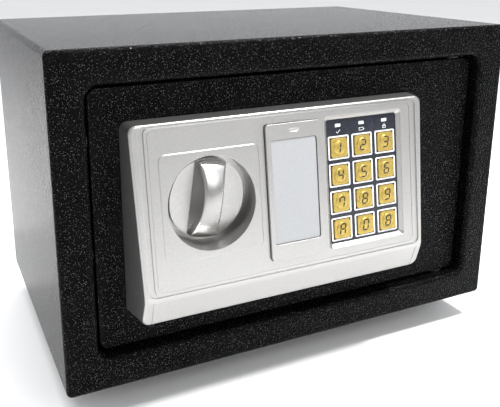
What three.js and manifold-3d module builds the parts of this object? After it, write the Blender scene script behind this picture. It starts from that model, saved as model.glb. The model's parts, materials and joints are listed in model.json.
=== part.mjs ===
// A small electronic security safe: a folded steel case, and a side-hinged door that carries a moulded
// panel with a knob, an override lock under a lift-off cover, and a twelve-key keypad.
// Millimetres. The origin is the centre of the base's underside: +X to the right seen from the front,
// +Y into the safe, +Z up. The safe is drawn shut and unlocked, with its bolts drawn back.

import * as THREE from "three";
import { mergeVertices } from "three/addons/utils/BufferGeometryUtils.js";
import Module from "manifold-3d";

const wasm = await Module();
wasm.setup();

// ---------------------------------------------------------------- driving dimensions

const gap = 0.3; // kept between two pieces that touch

// Case
const caseWidth = 310;
const caseDepth = 200;
const caseHeight = 200;
const sheet = 2; // thickness of the case's steel
const foldRadius = 2.5; // outside radius of the case's folds
const cornerRadius = 3.5; // of the case's outline seen from the front
const rimDepth = 6; // how far the frame and the back panel wrap round the sides
const flangeWidth = 20; // front frame, from the outside to the opening
const openingRadius = 8;
const rolledEdge = 3.5; // radius rolled round the opening's front edge
const jambDepth = 22; // front plane to the jamb's rear edge
const anchorHole = 10; // diameter
const backAnchorSpacing = 150;
const baseAnchorSpacing = 150;
const baseAnchorSetback = 120; // front plane to the base's holes
const matThickness = 2;
const matMargin = 3; // bare floor round the mat

// Door
const doorClearance = 2; // all round, in the opening
const doorRecess = 7.5; // front plane to the door's face
const doorThickness = 3;
const doorRadius = 6;
const doorEdge = 0.8; // rounding of the door plate's edges
const cableSlotWidth = 24;
const cableSlotHeight = 10;
const hingeInset = 13; // door's edge to the hinge pins' axis
const hingePinDiameter = 5;
const hingeRunning = 0.3; // radial, pin to washer and jamb
const earThickness = 3;
const earReach = 5; // past the pin's axis
const pinHeadOverhang = 0.3; // radial
const pinTip = 2; // past the jamb
const washerWidth = 3; // radial
const stopWidth = 20;
const stopThickness = 2.5;
const stopInset = 23; // door's lock edge to the near side of the stops
const pinHeadThickness = 2;
const earPost = 3; // ear's web past the tray's flange

// Door tray and its cover
const traySheet = 1.5;
const trayInset = 5; // top, bottom and lock side, from the door's edges
const trayHingeClearance = 8; // hinge axis to the tray
const trayDepth = 36.5; // door plate's back to the tray's rear flange
const trayFlange = 9;
const trayRadius = 4;
const coverThickness = 1.2;
const coverScrewInset = 4.5;
const coverScrewDiameter = 4;
const coverScrewHead = 7.5;
const coverScrewReach = 6; // tray's rear flange to the screw's tip
const coverScrewRise = 2.2; // head above its seat

// Panel
const panelEdge = 17; // panel's left side to the knob's plateau
const panelFarEdge = 18.8; // keypad recess to the panel's right side
const bayGap = 4; // between the plateau, the override cover and the keypad recess
const panelOffset = 16.8; // door's lock edge to the panel
const panelLift = 0.55; // panel's middle above the door's middle
const panelTopRise = 11.5; // height of the panel's top edge above the door
const panelLean = Math.atan(0.1487); // the face leans back by 8.5 degrees
const panelWall = 2.4;
const panelRadius = 5;
const sideDraft = 0.154; // inward travel of the sides for each unit of height
const endDraft = 0.03;
const faceMarginBottom = 9.1; // crease to the keypad recess, along the face
const faceMarginTop = 7.6;
const chinHeight = 18;
const chinSetback = 6;
const fieldMargin = 5.8; // raised field to the face's side edges at the crease
const fieldMarginEnd = 2.6; // raised field to the face's top and to the crease
const fieldRadius = 3;
const grooveWidth = 3; // down the field's sides
const grooveWidthEnd = 1.2; // along the field's top and bottom
const grooveDepth = 0.8;

// Knob
const knobDiameter = 47.5;
const knobWellClearance = 3.25;
const plateauMargin = 3.75; // round the well
const plateauRise = 0.4;
const knobRimRise = 10.7; // knob's rim above the door
const knobRimThickness = 4.2;
const knobFloorClearance = 1;
const gripWidth = 18.5;
const gripHeight = 10.5;
const gripTaper = 3.25; // each side leans in by this much at the crest
const gripInset = 0.6; // each end of the grip, from the knob's rim
const gripTilt = THREE.MathUtils.degToRad(7.7); // top towards the hinge side, unlocked
const spindleDiameter = 8;
const bushWall = 2;
const bushFlange = 3; // radial
const bushFlangeThickness = 2;
const bushTail = 1.5; // past the door plate's back

// Override cover and lock
const overrideWidth = 37.8;
const overrideRise = 2;
const overridePocket = 1.2;
const overrideRadius = 2;
const inlayWidth = 30.6;
const inlayHeight = 62;
const inlayDepth = 0.8;
const inlayThickness = 0.6;
const lockHeadDiameter = 19;
const lockBodyDiameter = 16;
const lockPlugDiameter = 10.4;
const lockCamLength = 25;
const lockSetback = 3; // panel's face to the lock's head
const lockHeadThickness = 2;
const lockTail = 3; // radius of the plug's tail, and how far the cylinder passes the carriage
const lockCamHub = 7; // radius
const lockCamWidth = 9;
const lockCamThickness = 2;
const keywayWidth = 2;
const keywayHeight = 7.2;
const keywayDepth = 6;

// Keypad
const keySize = 12;
const keyPitchX = 17.4;
const keyPitchZ = 17.1;
const keySideMargin = 4.85; // outer keys to the recess's sides
const keyBottomMargin = 4.8;
const keyTopMargin = 13.8; // room for the windows above the top row
const keyProud = 0.9; // key above the faceplate
const keyDome = 0.7; // height of the round dome on the cap
const keyDomeRadius = 4.3;
const keySkirt = 1; // thickness of the flange behind the faceplate
const keyStemRadius = 3;
const keyStemLength = 3.4; // flange's front to the stem's end
const keyFlange = 1.2; // each side, behind the faceplate
const keyTravel = 1;
const recessDepth = 2.5; // panel's face to the faceplate
const recessRadius = 2;
const faceplateThickness = 1.2;
const ledge = 3; // the recess's floor that carries the faceplate
const windowWidth = 4;
const windowHeight = 2;
const windowDrop = 6; // recess's top to the windows' middles
const windowProud = 0.1; // window above the faceplate
const guideReach = 4; // outer windows' middles to the light guide's ends
const guideSize = 3; // height of the light guide
const guideThickness = 1.5;
const boardThickness = 1.6;

// Bolt work
const boltThrow = 15;
const knobTurn = THREE.MathUtils.degToRad(60);
const boltDiameter = 14;
const boltSpacing = 70;
const boltNeck = 8; // diameter of the neck in the carriage's ear
const boltTipInset = 1; // drawn-back tip to the door's lock edge
const boltHead = 25; // length of the full diameter
const boltChamfer = 1.5;
const rivetSpread = 2; // radial, past the neck
const rivetLength = 2;
const carriageThickness = 2.5;
const carriageSetback = 9.5; // door plate to the carriage
const carriageHalfHeight = 34;
const earHalfHeight = 9;
const earPlateWidth = 14;
const earDepth = 6; // past the bolts' axis
const crankThickness = 3;
const crankPin = 6;
const crankHub = 9; // radius
const crankHalfWidth = 5.5;
const crankSetback = 3.3; // door plate to the crank
const slotClearance = 0.45; // each side of a pin in its slot
const studDiameter = 6;
const studHead = 10;
const studFlange = 2; // radial
const studHeadThickness = 1.5;
const studUpperOffset = [-30, 18]; // from the knob's axis
const studLowerOffset = [18, -24];
const carriageReach = 40; // knob's axis to the carriage's free end

// Solenoid
const solenoidOffset = -7; // from the knob's axis
const solenoidWidth = 26;
const solenoidDepth = 19;
const solenoidHeight = 26;
const solenoidFoot = 3; // above the tray's floor
const plungerDiameter = 8;
const plungerTravel = 4;
const notchDepth = 5;
const coilInset = 0.7; // solenoid's side to its winding
const plungerSeat = 4; // bottom of the winding to the plunger's foot
const collarDrop = 3.2; // collar's underside to the drawn-in carriage
const collarThickness = 1.2;
const collarWidth = 3; // radial
const springWire = 0.5; // radius
const springClearance = 1.6; // plunger to the wire's middle
const springTurns = 5;

// Electronics
const cellDiameter = 14.3;
const cellLength = 50.5;
const cellPitch = 15.2;
const cellCount = 4;
const cellClearance = 1.2; // each end of the cells
const cellButton = 2.7; // radius
const cellButtonRise = 1.2;
const boxWall = 1.5;
const batteryInsetX = 27; // tray's hinge side to the battery box
const batteryInsetZ = 13; // tray's bottom to the battery box
const boardWidth = 80;
const boardHeight = 54;
const controlBoardInset = 10;
const controlBoardRise = 4; // front of the battery box to the board
const flapMargin = 3; // battery box's outside to its door
const flapPullWidth = 16;
const flapPullRise = 2;
const flapPullInset = 2;
const resetDiameter = 8;
const resetTravel = 1.5;
const resetPlace = [16, 24]; // from the board's upper corner
const resetFlange = 1.2; // radial
const resetFlangeDrop = [3, 1.5]; // flange's two faces below the cover

// ---------------------------------------------------------------- geometry helpers

// A three.js geometry as a solid of the boolean library.
function solidOf(geometry) {
  let bare = geometry;
  if (geometry.getAttribute("normal")) {
    bare = geometry.clone();
    bare.deleteAttribute("normal");
    bare.deleteAttribute("uv");
    bare = mergeVertices(bare);
  }
  return new wasm.Manifold(
    new wasm.Mesh({
      numProp: 3,
      vertProperties: new Float32Array(bare.getAttribute("position").array),
      triVerts: new Uint32Array(bare.getIndex().array),
    }),
  );
}

function geometryOf(solid) {
  const mesh = solid.getMesh();
  const geometry = new THREE.BufferGeometry();
  geometry.setAttribute("position", new THREE.BufferAttribute(mesh.vertProperties, 3));
  geometry.setIndex(new THREE.BufferAttribute(mesh.triVerts, 1));
  return geometry;
}

function combine(operation, first, others) {
  const start = solidOf(first);
  return geometryOf(others.reduce((solid, other) => solid[operation](solidOf(other)), start));
}

const join = (first, ...others) => combine("add", first, others);
const cut = (first, ...others) => combine("subtract", first, others);
const common = (first, ...others) => combine("intersect", first, others);

function box(x, y, z) {
  const size = [x, y, z].map(([low, high]) => high - low);
  const middle = [x, y, z].map(([low, high]) => (low + high) / 2);
  return new THREE.BoxGeometry(...size).translate(...middle);
}

// Round bars. Each runs from one place to another along its axis.
function rodX(radius, x, y, z, sides = 24) {
  const bar = new THREE.CylinderGeometry(radius, radius, x[1] - x[0], sides);
  return bar.rotateZ(Math.PI / 2).translate((x[0] + x[1]) / 2, y, z);
}

function rodY(radius, x, y, z, sides = 24) {
  const bar = new THREE.CylinderGeometry(radius, radius, y[1] - y[0], sides);
  return bar.translate(x, (y[0] + y[1]) / 2, z);
}

function rodZ(radius, x, y, z, sides = 24) {
  const bar = new THREE.CylinderGeometry(radius, radius, z[1] - z[0], sides);
  return bar.rotateX(Math.PI / 2).translate(x, y, (z[0] + z[1]) / 2);
}

// A body of revolution about +Y. The profile lists [radius, y] anticlockwise.
function turned(profile, sides = 24) {
  const points = profile.map(([radius, y]) => new THREE.Vector2(radius, y));
  return new THREE.LatheGeometry(points, sides);
}

function roundedRect(width, height, radius, centreX = 0, centreZ = 0) {
  const left = centreX - width / 2;
  const right = centreX + width / 2;
  const low = centreZ - height / 2;
  const high = centreZ + height / 2;
  const quarter = Math.PI / 2;
  const outline = new THREE.Shape();
  outline.moveTo(left + radius, low);
  outline.lineTo(right - radius, low);
  outline.absarc(right - radius, low + radius, radius, -quarter, 0, false);
  outline.lineTo(right, high - radius);
  outline.absarc(right - radius, high - radius, radius, 0, quarter, false);
  outline.lineTo(left + radius, high);
  outline.absarc(left + radius, high - radius, radius, quarter, 2 * quarter, false);
  outline.lineTo(left, low + radius);
  outline.absarc(left + radius, low + radius, radius, 2 * quarter, 3 * quarter, false);
  return outline;
}

// An outline drawn in X and Z, made solid between two places along Y.
function plate(outline, y, steps = 1) {
  const depth = y[1] - y[0];
  const options = { depth, steps, bevelEnabled: false, curveSegments: 3 };
  return new THREE.ExtrudeGeometry(outline, options).rotateX(Math.PI / 2).translate(0, y[1], 0);
}

// The same, with both faces' edges rounded.
function softPlate(outline, y, edge) {
  const options = {
    depth: y[1] - y[0] - 2 * edge,
    bevelThickness: edge,
    bevelSize: edge,
    bevelOffset: -edge,
    bevelSegments: 2,
    curveSegments: 3,
  };
  const geometry = new THREE.ExtrudeGeometry(outline, options);
  return geometry.rotateX(Math.PI / 2).translate(0, y[1] - edge, 0);
}

// A slot with round ends, along X from one pin centre to another.
function slotX(x, z, radius, y) {
  const middle = box(x, y, [z - radius, z + radius]);
  return join(middle, rodY(radius, x[0], y, z), rodY(radius, x[1], y, z));
}

// Moves each point by a rule that takes and returns a Vector3.
function reshape(geometry, rule) {
  const place = geometry.getAttribute("position");
  const point = new THREE.Vector3();
  for (let i = 0; i < place.count; i += 1) {
    point.fromBufferAttribute(place, i);
    rule(point);
    place.setXYZ(i, point.x, point.y, point.z);
  }
  return geometry;
}

// ---------------------------------------------------------------- finishes

const finish = (color, roughness, metalness = 0) =>
  new THREE.MeshStandardMaterial({ color, roughness, metalness });

const finishes = {
  blackPaint: finish(0x1a1a1c, 0.55),
  silverPlastic: finish(0xd6d3cf, 0.35, 0.3),
  inlay: finish(0xcdd0d7, 0.5),
  faceplate: finish(0x232630, 0.3),
  goldKey: finish(0xc8aa46, 0.35, 0.6),
  window: finish(0xe6e8ec, 0.25),
  zincSteel: finish(0xa8abae, 0.4, 0.9),
  brightSteel: finish(0xc8cacc, 0.25, 1),
  brass: finish(0xb89a55, 0.35, 0.9),
  copper: finish(0xa8562c, 0.4, 0.8),
  board: finish(0x1f5a38, 0.5),
  blackPlastic: finish(0x202022, 0.5),
  redPlastic: finish(0xb3201c, 0.4),
  cellWrap: finish(0x3a3d42, 0.35, 0.2),
  nylon: finish(0x1e1e20, 0.5),
  felt: finish(0x3a3b3e, 0.95),
};

const safe = new THREE.Group();

function add(name, geometry, material, parent = safe) {
  if (!geometry.getAttribute("normal")) geometry.computeVertexNormals();
  const mesh = new THREE.Mesh(geometry, material);
  mesh.name = name;
  parent.add(mesh);
  return mesh;
}

// ---------------------------------------------------------------- places worked out from the sizes

const frontY = -caseDepth / 2;
const backY = caseDepth / 2;
const middleZ = caseHeight / 2;
const openingWidth = caseWidth - 2 * flangeWidth;
const openingHeight = caseHeight - 2 * flangeWidth;
const jambBackY = frontY + jambDepth;

const doorWidth = openingWidth - 2 * doorClearance;
const doorHeight = openingHeight - 2 * doorClearance;
const doorLeft = -doorWidth / 2;
const doorRight = doorWidth / 2;
const doorFrontY = frontY + doorRecess;
const doorBackY = doorFrontY + doorThickness;
const trayBackY = doorBackY + trayDepth;

const pinRadius = hingePinDiameter / 2;
const pinX = doorRight - hingeInset;
const pinY = doorBackY + gap + 0.1 + pinRadius;

const trayLeft = doorLeft + trayInset;
const trayRight = pinX - trayHingeClearance;
const trayBottom = middleZ - doorHeight / 2 + trayInset;
const trayTop = middleZ + doorHeight / 2 - trayInset;
const trayX = (trayLeft + trayRight) / 2;
const trayWidth = trayRight - trayLeft;
const trayHeight = trayTop - trayBottom;
const coverY = [trayBackY + gap, trayBackY + gap + coverThickness];

// The panel's bays, from the lock side to the hinge side.
const wellDiameter = knobDiameter + 2 * knobWellClearance;
const plateauSize = wellDiameter + 2 * plateauMargin;
const recessWidth = 2 * keyPitchX + keySize + 2 * keySideMargin;
const recessHeight = 3 * keyPitchZ + keySize + keyBottomMargin + keyTopMargin;
const bays = plateauSize + bayGap + overrideWidth + bayGap + recessWidth;
const panelWidth = panelEdge + bays + panelFarEdge;
const panelLeft = doorLeft + panelOffset;
const panelX = panelLeft + panelWidth / 2;
const knobX = panelLeft + panelEdge + plateauSize / 2;
const overrideX = knobX + plateauSize / 2 + bayGap + overrideWidth / 2;
const recessX = overrideX + overrideWidth / 2 + bayGap + recessWidth / 2;

// The panel's side view: a face that leans back, a crease, and a chin that falls away below it.
const faceLength = faceMarginBottom + recessHeight + faceMarginTop;
const panelHeight = chinHeight + faceLength * Math.cos(panelLean);
const panelBottom = middleZ + panelLift - panelHeight / 2;
const panelZ = panelBottom + panelHeight / 2;
const creaseZ = panelBottom + chinHeight;
const creaseRise = panelTopRise + faceLength * Math.sin(panelLean);
const creaseY = doorFrontY - creaseRise;
const chinLean = Math.atan(chinSetback / chinHeight);
const rowZ = faceMarginBottom + recessHeight / 2; // middle of the bays, up the face from the crease
const knobZ = creaseZ + rowZ * Math.cos(panelLean);
const panelBackY = doorFrontY - gap;
const faceAtKnobY = creaseY + rowZ * Math.sin(panelLean);

// Pieces that lie on the panel's face are drawn on it: X from the safe's middle, Z up the face from
// the crease, and Y into the panel from its face.
const faceTurn = new THREE.Matrix4().makeRotationX(-panelLean).setPosition(0, creaseY, creaseZ);
const onFace = (geometry) => geometry.applyMatrix4(faceTurn);

// ---------------------------------------------------------------- case

function caseShell() {
  const outline = roundedRect(caseWidth, caseHeight, cornerRadius, 0, middleZ);
  const outside = softPlate(outline, [frontY, backY], foldRadius);
  const hollow = roundedRect(
    caseWidth - 2 * sheet,
    caseHeight - 2 * sheet,
    cornerRadius - sheet,
    0,
    middleZ,
  );
  return cut(outside, plate(hollow, [frontY + sheet, backY - sheet]));
}

function slice(geometry, y) {
  const reach = [-caseWidth, caseWidth];
  return common(geometry, box(reach, y, [-caseHeight, 2 * caseHeight]));
}

// The opening's hole, flared at the front so that the edge left behind is rolled.
function openingHole() {
  const outline = roundedRect(openingWidth, openingHeight, openingRadius, 0, middleZ);
  const straight = plate(outline, [frontY - 1, jambBackY + 1]);
  const flare = plate(outline, [frontY, frontY + rolledEdge], 4);
  reshape(flare, (point) => {
    const run = rolledEdge - (point.y - frontY);
    const spread = rolledEdge - Math.sqrt(rolledEdge ** 2 - run ** 2);
    point.x += Math.sign(point.x) * spread;
    point.z += Math.sign(point.z - middleZ) * spread;
  });
  return join(straight, flare);
}

function frontFrame(shell) {
  const outline = roundedRect(
    openingWidth + 2 * sheet,
    openingHeight + 2 * sheet,
    openingRadius + sheet,
    0,
    middleZ,
  );
  const jamb = plate(outline, [frontY + sheet / 2, jambBackY]);
  const rim = slice(shell, [frontY - 1, frontY + rimDepth]);
  const holeRadius = pinRadius + hingeRunning;
  const pinHole = rodZ(holeRadius, pinX, pinY, [-1, caseHeight + 1]);
  const throughRims = box(
    [pinX - holeRadius - 1, pinX + holeRadius + 1],
    [pinY - holeRadius - 1, pinY + holeRadius + 1],
    [sheet + gap, caseHeight - sheet - gap],
  );
  return cut(join(rim, jamb), openingHole(), common(pinHole, throughRims));
}

const baseAnchorY = frontY + baseAnchorSetback;
const anchorX = (spacing, side) => (side * spacing) / 2;

function buildCase() {
  const shell = caseShell();
  add("front_frame", frontFrame(shell), finishes.blackPaint);

  const wrapY = [frontY + rimDepth + gap, backY - rimDepth - gap];
  const baseHoles = [-1, 1].map((side) =>
    rodZ(anchorHole / 2, anchorX(baseAnchorSpacing, side), baseAnchorY, [-1, 2 * sheet + matThickness]),
  );
  add("body_wrap", cut(slice(shell, wrapY), ...baseHoles), finishes.blackPaint);

  const backHoles = [-1, 1].map((side) =>
    rodY(anchorHole / 2, anchorX(backAnchorSpacing, side), [backY - 2 * sheet, backY + 1], middleZ),
  );
  const back = slice(shell, [backY - rimDepth, backY + 1]);
  add("back_panel", cut(back, ...backHoles), finishes.blackPaint);

  const floorZ = sheet + gap;
  const halfMat = caseWidth / 2 - sheet - matMargin;
  const matY = [jambBackY + matMargin, backY - sheet - matMargin];
  const mat = box([-halfMat, halfMat], matY, [floorZ, floorZ + matThickness]);
  add("floor_mat", cut(mat, ...baseHoles), finishes.felt);

  const stopX = [doorLeft + stopInset, doorLeft + stopInset + stopWidth];
  const stopY = [doorBackY + gap, doorBackY + gap + stopThickness];
  const openingHalf = openingHeight / 2 - gap;
  const stopSpare = 2.5 * gap;
  const stopDepth = doorClearance + trayInset - stopSpare;
  const upperZ = [middleZ + openingHalf - stopDepth, middleZ + openingHalf];
  const lowerZ = [middleZ - openingHalf, middleZ - openingHalf + stopDepth];
  add("door_stop_upper", box(stopX, stopY, upperZ), finishes.blackPaint);
  add("door_stop_lower", box(stopX, stopY, lowerZ), finishes.blackPaint);
}

// ---------------------------------------------------------------- door structure

const bushRadius = spindleDiameter / 2 + gap + bushWall;
const cableSlot = box(
  [recessX - cableSlotWidth / 2, recessX + cableSlotWidth / 2],
  [doorFrontY - 1, doorBackY + 1],
  [knobZ - cableSlotHeight / 2, knobZ + cableSlotHeight / 2],
);

function buildDoorPlate() {
  const outline = roundedRect(doorWidth, doorHeight, doorRadius, 0, middleZ);
  const blank = softPlate(outline, [doorFrontY, doorBackY], doorEdge);
  const through = [doorFrontY - 1, doorBackY + 1];
  const bushHole = rodY(bushRadius + gap, knobX, through, knobZ);
  const lockHole = rodY(lockBodyDiameter / 2 + gap, overrideX, through, knobZ);
  add("door_plate", cut(blank, bushHole, lockHole, cableSlot), finishes.blackPaint);
}

const screwPlaces = [
  [trayLeft + coverScrewInset, trayBottom + coverScrewInset],
  [trayRight - coverScrewInset, trayBottom + coverScrewInset],
  [trayLeft + coverScrewInset, trayTop - coverScrewInset],
  [trayRight - coverScrewInset, trayTop - coverScrewInset],
];
const screwHoles = (y) =>
  screwPlaces.map(([x, z]) => rodY(coverScrewDiameter / 2 + gap, x, y, z, 16));

const boltZ = [knobZ + boltSpacing / 2, knobZ - boltSpacing / 2];
const carriageY = [doorBackY + carriageSetback, doorBackY + carriageSetback + carriageThickness];
const boltY = carriageY[1] + gap + boltDiameter / 2;

// A folded ear that holds a hinge pin. side is +1 at the top of the door and -1 at the bottom.
function hingeEar(side) {
  const outer = middleZ + (side * doorHeight) / 2;
  const flat = [outer, outer - side * earThickness].sort((a, b) => a - b);
  const post = [outer, outer - side * (trayInset + earPost)].sort((a, b) => a - b);
  const y = [doorBackY + gap, pinY + pinRadius + earReach];
  const arm = box([trayRight - traySheet, pinX + earReach], y, flat);
  const web = box([trayRight - traySheet, trayRight], y, post);
  const hole = rodZ(pinRadius + gap, pinX, pinY, [flat[0] - 1, flat[1] + 1]);
  return cut(join(arm, web), hole);
}

function buildTray() {
  const outline = (inset, radius) =>
    roundedRect(trayWidth - 2 * inset, trayHeight - 2 * inset, radius, trayX, middleZ);
  const block = plate(outline(0, trayRadius), [doorBackY + gap, trayBackY]);
  const inside = plate(outline(traySheet, trayRadius - traySheet), [doorBackY, trayBackY - traySheet]);
  const mouth = plate(outline(trayFlange, 1), [trayBackY - 2 * traySheet, trayBackY + 1]);
  const boltHoles = boltZ.map((z) =>
    rodX(boltDiameter / 2 + 2 * gap, [trayLeft - 1, trayLeft + 3], boltY, z),
  );
  const holes = screwHoles([trayBackY - 2 * traySheet, trayBackY + 1]);
  const tray = cut(block, inside, mouth, ...boltHoles, ...holes);
  add("door_tray", join(tray, hingeEar(1), hingeEar(-1)), finishes.blackPaint);
}

// A shouldered pin that turns in the jamb. side is +1 at the top of the door and -1 at the bottom.
function hingePin(side) {
  const ear = middleZ + side * (doorHeight / 2 - earThickness);
  const tip = middleZ + side * (openingHeight / 2 + sheet + pinTip);
  const shank = rodZ(pinRadius, pinX, pinY, [ear - side * pinHeadThickness, tip].sort((a, b) => a - b));
  const head = [ear - side * (pinHeadThickness + gap), ear - side * gap].sort((a, b) => a - b);
  return join(shank, rodZ(pinRadius + pinHeadOverhang, pinX, pinY, head));
}

function hingeWasher(side) {
  const ear = middleZ + (side * doorHeight) / 2;
  const jamb = middleZ + (side * openingHeight) / 2;
  const z = [ear + side * gap, jamb - side * gap].sort((a, b) => a - b);
  const ring = rodZ(pinRadius + washerWidth, pinX, pinY, z);
  return cut(ring, rodZ(pinRadius + hingeRunning, pinX, pinY, [z[0] - 1, z[1] + 1]));
}

function buildHinges() {
  add("hinge_pin_top", hingePin(1), finishes.brightSteel);
  add("hinge_pin_bottom", hingePin(-1), finishes.brightSteel);
  add("hinge_washer_top", hingeWasher(1), finishes.nylon);
  add("hinge_washer_bottom", hingeWasher(-1), finishes.nylon);
}

// ---------------------------------------------------------------- panel

// The panel's outside, or, with a skin, the hollow that leaves a wall of that thickness.
function panelForm(skin, rearY) {
  const tanFace = Math.tan(panelLean);
  const tanChin = Math.tan(chinLean);
  const faceShift = skin / Math.cos(panelLean);
  const chinShift = skin / Math.cos(chinLean);
  const creaseShift = (chinShift - faceShift) / (tanFace + tanChin);
  const over = 10;
  const faceY = (z) => creaseY + faceShift + (z - creaseZ) * tanFace;
  const chinY = (z) => creaseY + chinShift + (creaseZ - z) * tanChin;
  const low = panelBottom - over;
  const high = panelBottom + panelHeight + over;
  const side = new THREE.Shape([
    new THREE.Vector2(rearY + over, low),
    new THREE.Vector2(chinY(low), low),
    new THREE.Vector2(faceY(creaseZ + creaseShift), creaseZ + creaseShift),
    new THREE.Vector2(faceY(high), high),
    new THREE.Vector2(rearY + over, high),
  ]);
  const wide = new THREE.ExtrudeGeometry(side, { depth: panelWidth + 2 * over, bevelEnabled: false });
  const lengthways = new THREE.Matrix4().makeBasis(
    new THREE.Vector3(0, 1, 0),
    new THREE.Vector3(0, 0, 1),
    new THREE.Vector3(1, 0, 0),
  );
  wide.applyMatrix4(lengthways).translate(panelLeft - over, 0, 0);

  const outline = roundedRect(
    panelWidth - 2 * skin,
    panelHeight - 2 * skin,
    panelRadius - skin,
    panelX,
    panelZ,
  );
  const block = plate(outline, [creaseY - over, rearY]);
  reshape(block, (point) => {
    const rise = doorFrontY - point.y;
    point.x -= (point.x - panelX) * ((sideDraft * rise) / (panelWidth / 2));
    point.z -= (point.z - panelZ) * ((endDraft * rise) / (panelHeight / 2));
  });
  return common(block, wide);
}

const facePlate = (width, height, radius, x, z, y) =>
  onFace(plate(roundedRect(width, height, radius, x, z), y));

const faceplateY = [recessDepth, recessDepth + faceplateThickness];
const keyColumns = [-1, 0, 1].map((column) => recessX + column * keyPitchX);
const keyRows = [3, 2, 1, 0].map(
  (row) => rowZ - recessHeight / 2 + keyBottomMargin + keySize / 2 + row * keyPitchZ,
);
const windowZ = rowZ + recessHeight / 2 - windowDrop;

const wellFloorY = doorFrontY - knobRimRise + knobRimThickness + knobFloorClearance;

function faceGroove() {
  const creaseWidth = panelWidth - 2 * sideDraft * creaseRise;
  const fieldWidth = creaseWidth - 2 * fieldMargin;
  const fieldHeight = faceLength - 2 * fieldMarginEnd;
  const fieldZ = faceLength / 2;
  const around = roundedRect(
    fieldWidth + 2 * grooveWidth,
    fieldHeight + 2 * grooveWidthEnd,
    fieldRadius + 1,
    panelX,
    fieldZ,
  );
  const field = roundedRect(fieldWidth, fieldHeight, fieldRadius, panelX, fieldZ);
  return onFace(cut(plate(around, [-1, grooveDepth]), plate(field, [-2, grooveDepth + 1])));
}

function buildBezel() {
  const outside = panelForm(0, panelBackY);
  const hollow = panelForm(panelWall, panelBackY + 1);
  const wellRadius = wellDiameter / 2;
  const longWell = [creaseY - 20, wellFloorY];
  const cup = rodY(wellRadius + panelWall, knobX, [creaseY - 20, wellFloorY + panelWall], knobZ, 40);
  const floorY = recessDepth + faceplateThickness + gap;
  const tub = facePlate(
    recessWidth + 2 * panelWall,
    recessHeight + 2 * panelWall,
    recessRadius,
    recessX,
    rowZ,
    [panelWall / 2, floorY + boxWall],
  );
  const plateau = facePlate(plateauSize, plateauSize, 4, knobX, rowZ, [-plateauRise, panelWall / 2]);
  const body = join(cut(outside, hollow), common(outside, cup), tub, plateau);

  const recess = facePlate(recessWidth, recessHeight, recessRadius, recessX, rowZ, [-5, floorY]);
  const keyHole = facePlate(
    recessWidth - 2 * ledge,
    recessHeight - 2 * ledge,
    1,
    recessX,
    rowZ,
    [0, floorY + 2 * boxWall],
  );
  const pocket = facePlate(overrideWidth, recessHeight, overrideRadius, overrideX, rowZ, [
    -1,
    overridePocket,
  ]);
  const well = rodY(wellRadius, knobX, longWell, knobZ, 40);
  const spindleHole = rodY(spindleDiameter / 2 + 2 * gap, knobX, [wellFloorY - 1, doorFrontY], knobZ);
  const lockHole = rodY(lockHeadDiameter / 2 + gap, overrideX, [creaseY, doorFrontY], knobZ);
  const cuts = [faceGroove(), recess, keyHole, pocket, well, spindleHole, lockHole];
  add("panel_bezel", cut(body, ...cuts), finishes.silverPlastic);
}

function buildOverride() {
  const height = recessHeight - 2 * gap;
  const width = overrideWidth - 2 * gap;
  const underside = overridePocket - gap;
  const body = softPlate(
    roundedRect(width, height, overrideRadius, overrideX, rowZ),
    [-overrideRise, underside],
    0.6,
  );
  const inlayOutline = (spare) =>
    roundedRect(inlayWidth + 2 * spare, inlayHeight + 2 * spare, 1.5, overrideX, rowZ);
  const inlayFront = inlayDepth - overrideRise;
  const inlayY = [inlayFront, inlayFront + inlayThickness];
  const seat = plate(inlayOutline(gap), [-overrideRise - 1, inlayY[1] + gap]);
  add("override_cover", onFace(cut(body, seat)), finishes.silverPlastic);
  add("cover_inlay", onFace(plate(inlayOutline(0), inlayY)), finishes.inlay);

  const headY = faceAtKnobY + lockSetback;
  const cylinderEnd = carriageY[1] + lockTail;
  const bore = lockPlugDiameter / 2 + gap;
  const profile = [
    [bore, headY],
    [lockHeadDiameter / 2, headY],
    [lockHeadDiameter / 2, headY + lockHeadThickness],
    [lockBodyDiameter / 2, headY + lockHeadThickness],
    [lockBodyDiameter / 2, cylinderEnd],
    [bore, cylinderEnd],
    [bore, headY],
  ];
  const cylinder = turned(profile, 28).translate(overrideX, 0, knobZ);
  add("lock_cylinder", cylinder, finishes.brightSteel);

  const camY = [cylinderEnd + 1, cylinderEnd + 1 + lockCamThickness];
  const keyway = box(
    [overrideX - keywayWidth / 2, overrideX + keywayWidth / 2],
    [headY - 1, headY + keywayDepth],
    [knobZ - keywayHeight / 2, knobZ + keywayHeight / 2],
  );
  const plug = join(
    rodY(lockPlugDiameter / 2, overrideX, [headY, cylinderEnd + gap], knobZ),
    rodY(lockTail, overrideX, [cylinderEnd, camY[1] + 2], knobZ),
  );
  add("lock_plug", cut(plug, keyway), finishes.brightSteel);

  const arm = join(
    rodY(lockCamHub, overrideX, camY, knobZ),
    box([overrideX - lockCamWidth / 2, overrideX + lockCamWidth / 2], camY, [knobZ - lockCamLength, knobZ]),
  );
  const camHole = rodY(lockTail + gap, overrideX, [camY[0] - 1, camY[1] + 1], knobZ);
  add("lock_cam", cut(arm, camHole), finishes.zincSteel);
}

// ---------------------------------------------------------------- keypad

const keyNames = ["1", "2", "3", "4", "5", "6", "7", "8", "9", "a", "0", "b"];

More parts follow.
